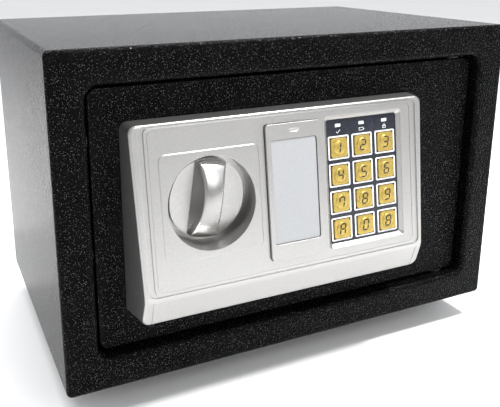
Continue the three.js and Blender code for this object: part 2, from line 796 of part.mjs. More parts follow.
function keyCap(x, z) {
  const top = recessDepth - keyProud;
  const rear = faceplateY[1] + gap;
  const flange = keySize + 2 * keyFlange;
  const square = (size) => [
    [x - size / 2, x + size / 2],
    [z - size / 2, z + size / 2],
  ];
  const [capX, capZ] = square(keySize);
  const [skirtX, skirtZ] = square(flange);
  const cap = box(capX, [top, rear + keySkirt / 2], capZ);
  const skirt = box(skirtX, [rear, rear + keySkirt], skirtZ);
  const stem = rodY(keyStemRadius, x, [rear + keySkirt / 2, rear + keyStemLength], z, 8);
  const dome = turned(
    [
      [0, -keyDome],
      [keyDomeRadius * 0.6, -keyDome * 0.64],
      [keyDomeRadius, 0],
      [keyDomeRadius, keySkirt / 2],
      [0, keySkirt / 2],
    ],
    14,
  ).translate(x, top, z);
  return join(cap, skirt, stem, dome);
}

function buildKeypad() {
  const sheetOutline = roundedRect(
    recessWidth - 2 * gap,
    recessHeight - 2 * gap,
    recessRadius - gap,
    recessX,
    rowZ,
  );
  const through = [faceplateY[0] - 1, faceplateY[1] + 1];
  const hole = keySize + 2 * gap;
  const keyHoles = keyRows.flatMap((z) =>
    keyColumns.map((x) => box([x - hole / 2, x + hole / 2], through, [z - hole / 2, z + hole / 2])),
  );
  const around = (middle, size) => [middle - size / 2 - gap, middle + size / 2 + gap];
  const windows = keyColumns.map((x) =>
    box(around(x, windowWidth), through, around(windowZ, windowHeight)),
  );
  const faceplate = cut(plate(sheetOutline, faceplateY), ...keyHoles, ...windows);
  add("keypad_faceplate", onFace(faceplate), finishes.faceplate);

  const rear = faceplateY[1] + gap;
  const bar = box(
    [keyColumns[0] - guideReach, keyColumns[2] + guideReach],
    [rear, rear + guideThickness],
    [windowZ - guideSize / 2, windowZ + guideSize / 2],
  );
  const lenses = keyColumns.map((x) =>
    box(
      [x - windowWidth / 2, x + windowWidth / 2],
      [recessDepth - windowProud, rear + guideThickness / 2],
      [windowZ - windowHeight / 2, windowZ + windowHeight / 2],
    ),
  );
  add("light_guide", onFace(join(bar, ...lenses)), finishes.window);

  keyRows.forEach((z, row) =>
    keyColumns.forEach((x, column) => {
      add(`key_${keyNames[row * 3 + column]}`, onFace(keyCap(x, z)), finishes.goldKey);
    }),
  );

  const boardY = rear + keyStemLength + keyTravel + 2 * gap;
  const board = plate(
    roundedRect(recessWidth - 2 * ledge, recessHeight - 2 * ledge, 1, recessX, rowZ),
    [boardY, boardY + boardThickness],
  );
  add("keypad_board", onFace(board), finishes.board);
}

// ---------------------------------------------------------------- knob and bolt work

const crankRadius = boltThrow / (2 * Math.sin(knobTurn / 2));
const crankY = [doorBackY + crankSetback, doorBackY + crankSetback + crankThickness];
const crankPinX = knobX + crankRadius * Math.sin(knobTurn / 2);
const crankPinZ = knobZ + crankRadius * Math.cos(knobTurn / 2);

function buildKnob() {
  const rimY = doorFrontY - knobRimRise;
  const rearY = rimY + knobRimThickness;
  const radius = knobDiameter / 2;
  const edge = 1;
  const disc = turned(
    [
      [0, rimY],
      [radius - edge, rimY],
      [radius, rimY + edge],
      [radius, rearY],
      [0, rearY],
    ],
    40,
  );

  const half = radius - gripInset;
  const arcRadius = (half ** 2 + gripHeight ** 2) / (2 * gripHeight);
  const sweep = Math.asin(half / arcRadius);
  const crescent = new THREE.Shape();
  crescent.moveTo(-half, -1);
  crescent.lineTo(half, -1);
  crescent.absarc(0, gripHeight - arcRadius, arcRadius, Math.PI / 2 - sweep, Math.PI / 2 + sweep, false);
  const grip = new THREE.ExtrudeGeometry(crescent, {
    depth: gripWidth,
    bevelEnabled: false,
    curveSegments: 16,
  });
  grip.translate(0, 0, -gripWidth / 2);
  reshape(grip, (point) => {
    const height = Math.max(point.y, 0) / gripHeight;
    point.z -= Math.sign(point.z) * gripTaper * height;
  });
  const upright = new THREE.Matrix4().makeBasis(
    new THREE.Vector3(0, 0, 1),
    new THREE.Vector3(0, -1, 0),
    new THREE.Vector3(1, 0, 0),
  );
  grip.applyMatrix4(upright).rotateY(gripTilt).translate(0, rimY, 0);

  const socketDepth = 5;
  const socketY = [rimY - socketDepth, rearY + 1];
  const socket = rodY(spindleDiameter / 2 + gap, 0, socketY, 0);
  const knob = cut(join(disc, grip), socket).translate(knobX, 0, knobZ);
  add("knob", knob, finishes.silverPlastic);

  const spindleY = [socketY[0] + gap, crankY[1] + 1];
  add("knob_spindle", rodY(spindleDiameter / 2, knobX, spindleY, knobZ), finishes.brightSteel);

  const bar = box([-crankHalfWidth, crankHalfWidth], crankY, [0, crankRadius]);
  const crank = join(
    rodY(crankHub, 0, crankY, 0),
    bar,
    rodY(crankHalfWidth, 0, crankY, crankRadius),
    rodY(crankPin / 2, 0, [crankY[0], carriageY[1] + 2], crankRadius),
  );
  const hubHole = rodY(spindleDiameter / 2 + gap, 0, [crankY[0] - 1, crankY[1] + 1], 0);
  const drawnBack = cut(crank, hubHole).rotateY(knobTurn / 2).translate(knobX, 0, knobZ);
  add("knob_crank", drawnBack, finishes.zincSteel);

  const bushFlangeY = [doorFrontY - gap - bushFlangeThickness, doorFrontY - gap];
  const bore = spindleDiameter / 2 + gap;
  const bush = turned(
    [
      [bore, bushFlangeY[0]],
      [bushRadius + bushFlange, bushFlangeY[0]],
      [bushRadius + bushFlange, bushFlangeY[1]],
      [bushRadius, bushFlangeY[1]],
      [bushRadius, doorBackY + bushTail],
      [bore, doorBackY + bushTail],
      [bore, bushFlangeY[0]],
    ],
    24,
  ).translate(knobX, 0, knobZ);
  add("knob_bush", bush, finishes.brass);
}

const plungerX = knobX + solenoidOffset;
const carriageLow = knobZ - carriageHalfHeight;
const earX = doorLeft + boltTipInset + boltHead + gap;
const carriageMiddleY = (carriageY[0] + carriageY[1]) / 2;

function boltCarriage() {
  const wideX = [earX, earX + earPlateWidth];
  const through = [carriageY[0] - 1, carriageY[1] + 1];
  const body = box([earX, knobX + carriageReach], carriageY, [carriageLow, knobZ + carriageHalfHeight]);
  const low = boltZ[1] - earHalfHeight;
  const high = boltZ[0] + earHalfHeight;
  const head = box(wideX, carriageY, [low, high]);
  const ears = boltZ.map((z) =>
    box([earX, earX + sheet], [carriageY[0], boltY + earDepth], [z - earHalfHeight, z + earHalfHeight]),
  );
  const earHoles = boltZ.map((z) => rodX(boltNeck / 2 + gap, [earX - 1, earX + sheet + 1], boltY, z));
  const pinRoom = crankPin / 2 + slotClearance;
  const rise = crankRadius * (1 - Math.cos(knobTurn / 2));
  const crankSlot = join(
    box([crankPinX - pinRoom, crankPinX + pinRoom], through, [crankPinZ, crankPinZ + rise]),
    rodY(pinRoom, crankPinX, through, crankPinZ),
    rodY(pinRoom, crankPinX, through, crankPinZ + rise),
  );
  const studSlots = [studUpperOffset, studLowerOffset].map(([x, z]) =>
    slotX([knobX + x, knobX + x + boltThrow], knobZ + z, studDiameter / 2 + slotClearance, through),
  );
  const notchHalf = plungerDiameter / 2 + slotClearance;
  const notches = [plungerX, plungerX + boltThrow].map((x) =>
    box([x - notchHalf, x + notchHalf], through, [carriageLow - 1, carriageLow + notchDepth]),
  );
  return cut(join(body, head, ...ears), ...earHoles, crankSlot, ...studSlots, ...notches);
}

// A locking bolt: a chamfered tip, a full-diameter head, a neck in the carriage's ear and a rivet.
function lockBolt(z) {
  const radius = boltDiameter / 2;
  const tipX = doorLeft + boltTipInset;
  const shoulderX = tipX + boltHead;
  const rivetX = shoulderX + sheet + 2 * gap;
  const profile = [
    [0, tipX],
    [radius - boltChamfer, tipX],
    [radius, tipX + boltChamfer],
    [radius, shoulderX],
    [boltNeck / 2, shoulderX],
    [boltNeck / 2, rivetX],
    [boltNeck / 2 + rivetSpread, rivetX],
    [boltNeck / 2 + rivetSpread / 2, rivetX + rivetLength],
    [0, rivetX + rivetLength],
  ];
  return turned(profile).rotateZ(-Math.PI / 2).translate(0, boltY, z);
}

function guideStud([x, z]) {
  const radius = studDiameter / 2;
  const headY = carriageY[1] + gap;
  const profile = [
    [0, doorBackY + gap],
    [radius + studFlange, doorBackY + gap],
    [radius + studFlange, carriageY[0] - gap],
    [radius, carriageY[0] - gap],
    [radius, headY],
    [studHead / 2, headY],
    [studHead / 2, headY + studHeadThickness],
    [0, headY + studHeadThickness],
  ];
  return turned(profile, 20).translate(knobX + x, 0, knobZ + z);
}

function buildBoltWork() {
  add("bolt_carriage", boltCarriage(), finishes.zincSteel);
  add("lock_bolt_upper", lockBolt(boltZ[0]), finishes.brightSteel);
  add("lock_bolt_lower", lockBolt(boltZ[1]), finishes.brightSteel);
  add("guide_stud_1", guideStud(studUpperOffset), finishes.brightSteel);
  add("guide_stud_2", guideStud(studLowerOffset), finishes.brightSteel);
}

// ---------------------------------------------------------------- solenoid

class Helix extends THREE.Curve {
  constructor(radius, bottom, top, turns) {
    super();
    this.radius = radius;
    this.bottom = bottom;
    this.top = top;
    this.turns = turns;
  }

  getPoint(t, target = new THREE.Vector3()) {
    const angle = 2 * Math.PI * this.turns * t;
    const z = this.bottom + (this.top - this.bottom) * t;
    return target.set(this.radius * Math.cos(angle), this.radius * Math.sin(angle), z);
  }
}

function buildSolenoid() {
  const low = trayBottom + traySheet + solenoidFoot;
  const high = low + solenoidHeight;
  const bracket = 2;
  const bore = plungerDiameter / 2 + gap;
  const y = [carriageMiddleY - solenoidDepth / 2, carriageMiddleY + solenoidDepth / 2];
  const x = [plungerX - solenoidWidth / 2, plungerX + solenoidWidth / 2];
  const inside = box(
    [x[0] + bracket, x[1] - bracket],
    [y[0] - 1, y[1] + 1],
    [low + bracket, high - bracket],
  );
  const hole = rodZ(bore, plungerX, carriageMiddleY, [high - 2 * bracket, high + 1]);
  add("solenoid_frame", cut(box(x, y, [low, high]), inside, hole), finishes.zincSteel);

  const coilZ = [low + bracket + gap, high - bracket - gap];
  const coil = rodZ(solenoidDepth / 2 - coilInset, plungerX, carriageMiddleY, coilZ);
  const coilBore = rodZ(bore, plungerX, carriageMiddleY, [coilZ[0] - 1, coilZ[1] + 1]);
  add("solenoid_coil", cut(coil, coilBore), finishes.copper);

  const plungerRadius = plungerDiameter / 2;
  const shankZ = [coilZ[0] + plungerSeat, carriageLow - 2 * gap];
  const collarLow = carriageLow - plungerTravel - collarDrop;
  const collarZ = [collarLow, collarLow + collarThickness];
  const plunger = join(
    rodZ(plungerRadius, plungerX, carriageMiddleY, shankZ),
    rodZ(plungerRadius + collarWidth, plungerX, carriageMiddleY, collarZ),
  );
  add("solenoid_plunger", plunger, finishes.brightSteel);

  const spare = gap + springWire;
  const path = new Helix(plungerRadius + springClearance, high + spare, collarLow - spare, springTurns);
  const section = new THREE.Shape().absarc(0, 0, springWire, 0, 2 * Math.PI, false);
  const spring = new THREE.ExtrudeGeometry(section, {
    steps: 60,
    curveSegments: 3,
    bevelEnabled: false,
    extrudePath: path,
  });
  spring.translate(plungerX, carriageMiddleY, 0);
  add("plunger_spring", spring, finishes.brightSteel);
}

// ---------------------------------------------------------------- electronics and inner cover

const boxInsideX = cellCount * cellPitch + 2 * gap;
const boxInsideZ = cellLength + 2 * cellClearance;
const batteryX = [trayRight - batteryInsetX - boxInsideX - 2 * boxWall, trayRight - batteryInsetX];
const batteryZ = [trayBottom + batteryInsetZ, trayBottom + batteryInsetZ + boxInsideZ + 2 * boxWall];
const boxFrontY = trayBackY - cellDiameter - boxWall - 2 * gap - 1;
const flapX = [batteryX[0] + flapMargin, batteryX[1] - flapMargin];
const flapZ = [batteryZ[0] + flapMargin, batteryZ[1] - flapMargin];
const resetX = trayRight - controlBoardInset - resetPlace[0];
const resetZ = trayTop - controlBoardInset - resetPlace[1];

function buildElectronics() {
  const floorY = boxFrontY + boxWall;
  const rim = [boxFrontY, trayBackY];
  const tray = cut(
    box(batteryX, rim, batteryZ),
    box(
      [batteryX[0] + boxWall, batteryX[1] - boxWall],
      [floorY, trayBackY + 1],
      [batteryZ[0] + boxWall, batteryZ[1] - boxWall],
    ),
  );
  add("battery_box", tray, finishes.blackPlastic);

  const cellY = floorY + gap + cellDiameter / 2;
  const cellBottom = batteryZ[0] + boxWall + cellClearance;
  const firstX = batteryX[0] + boxWall + gap + cellPitch / 2;
  for (let i = 0; i < cellCount; i += 1) {
    const x = firstX + i * cellPitch;
    const canZ = [cellBottom, cellBottom + cellLength - cellButtonRise];
    const can = rodZ(cellDiameter / 2, x, cellY, canZ, 20);
    const button = rodZ(cellButton, x, cellY, [cellBottom + 1, cellBottom + cellLength], 12);
    const cell = join(can, button);
    const flipped = i % 2 === 1;
    if (flipped) {
      cell.translate(-x, -cellY, 0).rotateY(Math.PI);
      cell.translate(x, cellY, 2 * cellBottom + cellLength);
    }
    add(`battery_cell_${i + 1}`, cell, finishes.cellWrap);
  }

  const boardRight = trayRight - controlBoardInset;
  const boardTop = trayTop - controlBoardInset;
  const boardFrontY = boxFrontY + controlBoardRise;
  const boardY = [boardFrontY, boardFrontY + boardThickness];
  const board = box([boardRight - boardWidth, boardRight], boardY, [boardTop - boardHeight, boardTop]);
  add("control_board", board, finishes.board);

  const capEnd = coverY[1] + resetTravel + gap;
  const stemStart = boardY[1] + resetTravel + gap + 1;
  const radius = resetDiameter / 2;
  const stem = radius - 1.5;
  const edge = 0.6;
  const flangeY = resetFlangeDrop.map((drop) => coverY[0] - drop);
  const button = turned([
    [0, stemStart],
    [stem, stemStart],
    [stem, flangeY[0]],
    [radius + resetFlange, flangeY[0]],
    [radius + resetFlange, flangeY[1]],
    [radius, flangeY[1]],
    [radius, capEnd - edge],
    [radius - edge, capEnd],
    [0, capEnd],
  ]).translate(resetX, 0, resetZ);
  add("reset_button", button, finishes.redPlastic);
}

function buildInnerCover() {
  const outline = roundedRect(trayWidth, trayHeight, trayRadius, trayX, middleZ);
  const through = [coverY[0] - 1, coverY[1] + 1];
  const opening = box([flapX[0] - gap, flapX[1] + gap], through, [flapZ[0] - gap, flapZ[1] + gap]);
  const resetHole = rodY(resetDiameter / 2 + gap, resetX, through, resetZ);
  const cover = cut(plate(outline, coverY), opening, resetHole, ...screwHoles(through));
  add("inner_cover", cover, finishes.blackPaint);

  const flap = box(flapX, coverY, flapZ);
  const middle = (flapX[0] + flapX[1]) / 2;
  const pull = box(
    [middle - flapPullWidth / 2, middle + flapPullWidth / 2],
    [coverY[1] - 0.5, coverY[1] + flapPullRise],
    [flapZ[0] + flapPullInset, flapZ[0] + 2 * flapPullInset],
  );
  add("battery_cover", join(flap, pull), finishes.blackPlastic);

  screwPlaces.forEach(([x, z], i) => {
    const shank = coverScrewDiameter / 2;
    const head = coverScrewHead / 2;
    const seat = coverY[1] + gap;
    const screw = turned(
      [
        [0, trayBackY - coverScrewReach],
        [shank, trayBackY - coverScrewReach + 1],
        [shank, seat],
        [head, seat],
        [head, seat + 1],
        [head - 1, seat + 2],
        [0, seat + coverScrewRise],
      ],
      18,
    ).translate(x, 0, z);
    add(`cover_screw_${i + 1}`, screw, finishes.zincSteel);
  });
}

// ---------------------------------------------------------------- the whole safe

buildCase();
buildDoorPlate();
buildTray();
buildHinges();
buildBezel();
buildOverride();
buildKeypad();
buildKnob();
buildBoltWork();
buildSolenoid();
buildElectronics();
buildInnerCover();

export default safe;
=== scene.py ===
import json
import math

import bmesh
import bpy
from mathutils import Matrix, Vector

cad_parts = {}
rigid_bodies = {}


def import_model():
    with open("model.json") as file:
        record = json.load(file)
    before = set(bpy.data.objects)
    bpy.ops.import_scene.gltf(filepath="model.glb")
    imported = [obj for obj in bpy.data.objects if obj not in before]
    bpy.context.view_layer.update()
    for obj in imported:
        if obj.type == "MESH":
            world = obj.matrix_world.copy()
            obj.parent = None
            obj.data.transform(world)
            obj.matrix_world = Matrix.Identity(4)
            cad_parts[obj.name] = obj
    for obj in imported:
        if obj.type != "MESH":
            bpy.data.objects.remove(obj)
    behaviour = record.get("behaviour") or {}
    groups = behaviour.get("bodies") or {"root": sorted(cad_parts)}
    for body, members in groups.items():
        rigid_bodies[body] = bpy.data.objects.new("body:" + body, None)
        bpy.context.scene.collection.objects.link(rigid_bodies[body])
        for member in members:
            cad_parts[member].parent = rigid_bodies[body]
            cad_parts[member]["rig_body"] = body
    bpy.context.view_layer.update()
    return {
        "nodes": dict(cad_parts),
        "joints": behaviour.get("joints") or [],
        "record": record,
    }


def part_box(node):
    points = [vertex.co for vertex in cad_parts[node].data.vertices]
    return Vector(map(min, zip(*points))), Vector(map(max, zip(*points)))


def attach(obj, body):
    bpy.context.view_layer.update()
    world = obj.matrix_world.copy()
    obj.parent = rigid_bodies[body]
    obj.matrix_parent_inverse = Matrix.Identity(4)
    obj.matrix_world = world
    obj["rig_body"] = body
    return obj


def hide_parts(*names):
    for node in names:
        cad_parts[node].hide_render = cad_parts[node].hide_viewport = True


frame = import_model()

# A small electronic safe: a powder-coated steel case and door, a silver-painted moulded panel with a
# knob, a lift-off lock cover and a keypad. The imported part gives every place; metres throughout.

MM = 0.001
NODES = frame["nodes"]
BODY = {name: node["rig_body"] for name, node in NODES.items()}
scene = bpy.context.scene


# ------------------------------------------------------------------ camera, room and lights

LENS = 48.47
CAMERA_PLACE = Vector((-0.2122, -0.4393, 0.2443))
CAMERA_AIM = Vector((0.4019, 0.8783, -0.2589))
CAMERA_ROLL = math.radians(-0.18)
CAMERA_SHIFT = (0.054, -0.131)


def make_camera():
    lens = bpy.data.cameras.new("camera")
    lens.lens = LENS
    lens.sensor_width = 36
    lens.shift_x, lens.shift_y = CAMERA_SHIFT
    lens.clip_start = 0.01
    camera = bpy.data.objects.new("camera", lens)
    scene.collection.objects.link(camera)
    turn = CAMERA_AIM.to_track_quat("-Z", "Y").to_matrix() @ Matrix.Rotation(CAMERA_ROLL, 3, "Z")
    camera.matrix_world = Matrix.Translation(CAMERA_PLACE) @ turn.to_4x4()
    scene.camera = camera


def soft_light(name, place, aim, size, power, color=(1, 1, 1)):
    light = bpy.data.lights.new(name, "AREA")
    light.shape = "RECTANGLE"
    light.size, light.size_y = size
    light.energy = power
    light.color = color
    lamp = bpy.data.objects.new(name, light)
    scene.collection.objects.link(lamp)
    way = (Vector(aim) - Vector(place)).to_track_quat("-Z", "Y")
    lamp.matrix_world = Matrix.Translation(place) @ way.to_matrix().to_4x4()


def light_room():
    world = bpy.data.worlds.new("studio")
    scene.world = world
    world.use_nodes = True
    nodes, links = world.node_tree.nodes, world.node_tree.links
    nodes.clear()
    place = nodes.new("ShaderNodeTexCoord")
    split = nodes.new("ShaderNodeSeparateXYZ")
    ramp = nodes.new("ShaderNodeMapRange")
    ramp.inputs["From Min"].default_value = -0.9
    ramp.inputs["From Max"].default_value = 0.7
    ramp.inputs["To Min"].default_value = 0.5
    ramp.inputs["To Max"].default_value = 1.05
    sky = nodes.new("ShaderNodeBackground")
    sky.inputs["Color"].default_value = (0.97, 0.98, 1, 1)
    out = nodes.new("ShaderNodeOutputWorld")
    links.new(place.outputs["Generated"], split.inputs[0])
    links.new(split.outputs["Y"], ramp.inputs["Value"])
    links.new(ramp.outputs[0], sky.inputs["Strength"])
    links.new(sky.outputs[0], out.inputs["Surface"])
    soft_light("overhead_softbox", (-0.1, 0.35, 1.1), (0, 0, 0.1), (1.2, 0.7), 16)
    soft_light("front_softbox", (0.5, -1.3, 0.9), (0, -0.1, 0.1), (0.8, 0.8), 8)
    soft_light("edge_lamp", (0.45, -0.42, 1.15), (0, -0.1, 0.1), (0.12, 0.12), 16)
    scene.view_settings.view_transform = "Standard"


# ------------------------------------------------------------------ finishes


def put(tree, kind, inputs=None, **settings):
    """A new node with its settings, and with values or links on its inputs."""
    node = tree.nodes.new(kind)
    for key, value in settings.items():
        setattr(node, key, value)
    for key, value in (inputs or {}).items():
        if isinstance(value, bpy.types.NodeSocket):
            tree.links.new(value, node.inputs[key])
        else:
            node.inputs[key].default_value = value
    return node


def grain(tree, where, kind, scale, detail):
    """A texture's height, from 0 to 1, at that many features to the metre."""
    if kind == "cells":
        return put(tree, "ShaderNodeTexVoronoi", {"Vector": where, "Scale": scale}).outputs["Distance"]
    noise = put(tree, "ShaderNodeTexNoise", {"Vector": where, "Scale": scale, "Detail": detail})
    return noise.outputs[0]


def bumps(tree, where, relief):
    """A normal from several layers of relief, each (kind, scale, detail, height)."""
    normal = None
    for kind, scale, detail, height in relief:
        values = {"Height": grain(tree, where, kind, scale, detail), "Strength": 1, "Distance": height}
        if normal:
            values["Normal"] = normal
        normal = put(tree, "ShaderNodeBump", values).outputs[0]
    return normal


def make_finish(
    name,
    dark,
    light,
    tone,
    rough,
    relief,
    coat_relief=(),
    stretch=(1, 1, 1),
    metallic=0.0,
    flakes=None,
    **shader_values,
):
    """A finish on the piece's own coordinates: tone = (scale, detail) moves its colour from dark to
    light, rough = (lowest, highest, scale) sets its roughness, relief lists its bumps, and flakes =
    (scale, lowest height, grey) scatters bright metal specks where a texture is highest."""
    material = bpy.data.materials.new(name)
    material.use_nodes = True
    tree = material.node_tree
    tree.nodes.clear()
    place = put(tree, "ShaderNodeTexCoord").outputs["Object"]
    where = put(tree, "ShaderNodeMapping", {"Vector": place, "Scale": stretch}).outputs[0]
    shade = put(tree, "ShaderNodeValToRGB", {"Fac": grain(tree, where, "noise", *tone)})
    shade.color_ramp.elements[0].position = 0.3
    shade.color_ramp.elements[1].position = 0.7
    shade.color_ramp.elements[0].color = (*dark, 1)
    shade.color_ramp.elements[1].color = (*light, 1)
    gloss = put(
        tree,
        "ShaderNodeMapRange",
        {
            "Value": grain(tree, where, "noise", rough[2], 3),
            "From Min": 0.3,
            "From Max": 0.7,
            "To Min": rough[0],
            "To Max": rough[1],
        },
    )
    colour = shade.outputs[0]
    if flakes:
        scale, height, grey = flakes
        fleck = grain(tree, where, "noise", scale, 0)
        reach = {"Value": fleck, "From Min": height, "From Max": height + 0.03}
        metallic = put(tree, "ShaderNodeMapRange", reach).outputs[0]
        blend = put(tree, "ShaderNodeMix", data_type="RGBA")
        for value, socket in ((metallic, 0), (colour, 6)):
            tree.links.new(value, blend.inputs[socket])
        blend.inputs[7].default_value = (grey, grey, grey, 1)
        colour = blend.outputs[2]
    shader = put(
        tree,
        "ShaderNodeBsdfPrincipled",
        {"Base Color": colour, "Roughness": gloss.outputs[0], "Metallic": metallic},
    )
    for socket, layers in (("Normal", relief), ("Coat Normal", coat_relief)):
        if layers:
            tree.links.new(bumps(tree, where, layers), shader.inputs[socket])
    for key, value in shader_values.items():
        shader.inputs[key.replace("_", " ")].default_value = value
    put(tree, "ShaderNodeOutputMaterial", {"Surface": shader.outputs[0]})
    return material


FINISH = {
    "case_paint": make_finish(
        "wrinkle_powder_coat",
        (0.0015, 0.0015, 0.0017),
        (0.0035, 0.0035, 0.0037),
        (90, 3),
        (0.3, 0.45, 300),
        [("noise", 780, 2, 0.5 * MM), ("cells", 1300, 0, 0.1 * MM)],
        coat_relief=[("noise", 720, 1, 0.7 * MM)],
        flakes=(2613, 0.76, 0.22),
        Specular_IOR_Level=0.0,
        Coat_Weight=1.0,
        Coat_IOR=1.11,
        Coat_Roughness=0.12,
    ),
    "panel_silver": make_finish(
        "silver_flake_paint",
        (0.395, 0.39, 0.381),
        (0.497, 0.49, 0.478),
        (2600, 2),
        (0.3, 0.38, 900),
        [("noise", 2600, 2, 0.012 * MM)],
        metallic=0.9,
    ),
    "knob_silver": make_finish(
        "satin_silver_paint",
        (0.34, 0.336, 0.328),
        (0.39, 0.384, 0.376),
        (2600, 1),
        (0.27, 0.31, 300),
        [("noise", 2600, 1, 0.002 * MM)],
        metallic=0.9,
    ),
    "inlay": make_finish(
        "inlay_label",
        (0.345, 0.352, 0.365),
        (0.40, 0.408, 0.42),
        (1400, 4),
        (0.42, 0.55, 500),
        [("noise", 1500, 2, 0.02 * MM)],
        metallic=0.15,
    ),
    "faceplate": make_finish(
        "dark_faceplate_film",
        (0.010, 0.012, 0.020),
        (0.018, 0.021, 0.032),
        (240, 3),
        (0.2, 0.3, 200),
        [("noise", 900, 2, 0.015 * MM)],
    ),
    "key_gold": make_finish(
        "gold_key_paint",
        (0.40, 0.285, 0.06),
        (0.52, 0.38, 0.10),
        (700, 3),
        (0.26, 0.38, 400),
        [("noise", 1300, 3, 0.006 * MM)],
        metallic=0.55,
    ),
    "key_ink": make_finish(
        "dark_key_ink",
        (0.006, 0.005, 0.004),
        (0.012, 0.010, 0.008),
        (900, 2),
        (0.6, 0.7, 400),
        [("noise", 2500, 1, 0.01 * MM)],
    ),
    "white_ink": make_finish(
        "white_print",
        (0.74, 0.75, 0.76),
        (0.84, 0.85, 0.85),
        (800, 3),
        (0.4, 0.5, 500),
        [("noise", 2500, 1, 0.01 * MM)],
    ),
    "window": make_finish(
        "frosted_window",
        (0.66, 0.68, 0.70),
        (0.80, 0.82, 0.83),
        (500, 2),
        (0.2, 0.32, 500),
        [("noise", 1500, 2, 0.015 * MM)],
        Coat_Weight=0.3,
    ),
    "zinc_steel": make_finish(
        "zinc_plated_steel",
        (0.46, 0.46, 0.45),
        (0.62, 0.62, 0.60),
        (180, 4),
        (0.28, 0.46, 260),
        [("noise", 900, 3, 0.02 * MM)],
        metallic=1.0,
    ),
    "bright_steel": make_finish(
        "turned_bright_steel",
        (0.60, 0.60, 0.60),
        (0.72, 0.72, 0.72),
        (300, 3),
        (0.14, 0.24, 500),
        [("noise", 700, 3, 0.01 * MM)],
        stretch=(9, 1, 1),
        metallic=1.0,
    ),
    "brass": make_finish(
        "turned_brass",
        (0.50, 0.36, 0.14),
        (0.62, 0.46, 0.20),
        (300, 3),
        (0.2, 0.34, 400),
        [("noise", 800, 3, 0.012 * MM)],
        stretch=(1, 9, 1),
        metallic=1.0,
    ),
    "copper": make_finish(
        "enamelled_copper",
        (0.42, 0.14, 0.055),
        (0.55, 0.20, 0.08),
        (500, 3),
        (0.22, 0.34, 500),
        [("noise", 1600, 2, 0.012 * MM)],
        metallic=0.85,
    ),
    "circuit_board": make_finish(
        "green_solder_mask",
        (0.010, 0.060, 0.028),
        (0.020, 0.110, 0.050),
        (350, 2),
        (0.28, 0.4, 300),
        [("cells", 420, 0, 0.06 * MM)],
    ),
    "black_plastic": make_finish(
        "moulded_black_plastic",
        (0.012, 0.012, 0.013),
        (0.022, 0.022, 0.023),
        (300, 3),
        (0.38, 0.52, 500),
        [("cells", 2200, 0, 0.03 * MM)],
    ),
    "cell_wrap": make_finish(
        "cell_sleeve",
        (0.022, 0.024, 0.028),
        (0.045, 0.048, 0.055),
        (120, 3),
        (0.2, 0.3, 400),
        [("noise", 1200, 2, 0.01 * MM)],
        metallic=0.3,
    ),
    "red_plastic": make_finish(
        "moulded_red_plastic",
        (0.42, 0.018, 0.014),
        (0.52, 0.030, 0.022),
        (400, 3),
        (0.28, 0.38, 500),
        [("noise", 1800, 2, 0.015 * MM)],
    ),
    "nylon": make_finish(
        "black_nylon",
        (0.012, 0.012, 0.012),
        (0.02, 0.02, 0.02),
        (300, 3),
        (0.4, 0.5, 500),
        [("noise", 1500, 2, 0.015 * MM)],
    ),
    "felt": make_finish(
        "grey_felt",
        (0.028, 0.029, 0.032),
        (0.062, 0.063, 0.068),
        (700, 5),
        (0.86, 0.96, 300),
        [("noise", 1500, 6, 0.5 * MM), ("noise", 240, 3, 0.4 * MM)],
        Sheen_Weight=0.35,
    ),
    "floor": make_finish(
        "pale_studio_floor",
        (0.92, 0.92, 0.925),
        (0.94, 0.94, 0.94),
        (3, 2),
        (0.5, 0.6, 4),
        [],
    ),
}


# ------------------------------------------------------------------ shaping tools


def outline(width, height, radius, x=0.0, z=0.0, steps=6):
    """A rounded rectangle's points in X and Z, anticlockwise seen from the front."""
    points = []
    for side, end, start in ((1, -1, -90), (1, 1, 0), (-1, 1, 90), (-1, -1, 180)):
        middle_x = x + side * (width / 2 - radius)
        middle_z = z + end * (height / 2 - radius)
        for step in range(steps + 1):
            angle = math.radians(start + 90 * step / steps)
            points.append((middle_x + radius * math.cos(angle), middle_z + radius * math.sin(angle)))
    return points


def circle(radius, x=0.0, z=0.0, sides=96):
    turns = [2 * math.pi * i / sides for i in range(sides)]
    return [(x + radius * math.cos(a), z + radius * math.sin(a)) for a in turns]


def at(points, y):
    return [Vector((x, y, z)) for x, z in points]


def make_object(name, mesh):
    made = bpy.data.objects.new(name, mesh)
    scene.collection.objects.link(made)
    return made


def stack(name, rings, looped=False):
    """A closed body through rings of the same number of points, with its two ends filled, or with
    the last ring joined to the first."""
    shape = bmesh.new()
    rows = [[shape.verts.new(point) for point in ring] for ring in rings]
    count = len(rows[0])
    pairs = list(zip(rows, rows[1:]))
    if looped:
        pairs.append((rows[-1], rows[0]))
    else:
        shape.faces.new(rows[0])
        shape.faces.new(rows[-1])
    for low, high in pairs:
        for i in range(count):
            j = (i + 1) % count
            shape.faces.new((low[i], low[j], high[j], high[i]))
    bmesh.ops.remove_doubles(shape, verts=shape.verts, dist=1e-7)
    bmesh.ops.recalc_face_normals(shape, faces=shape.faces)
    mesh = bpy.data.meshes.new(name)
    shape.to_mesh(mesh)
    shape.free()
    return make_object(name, mesh)


def prism(name, points, y):
    return stack(name, [at(points, y[0]), at(points, y[1])])


def hoop(name, outer, inner, y):
    """A closed frame between two outlines of the same number of points."""
    rings = [at(outer, y[0]), at(outer, y[1]), at(inner, y[1]), at(inner, y[0])]
    return stack(name, rings, looped=True)


def profile_bar(name, side_view, x):
    """A side view, points in Y and Z, made solid along X."""
    return stack(name, [[Vector((place, y, z)) for y, z in side_view] for place in x])


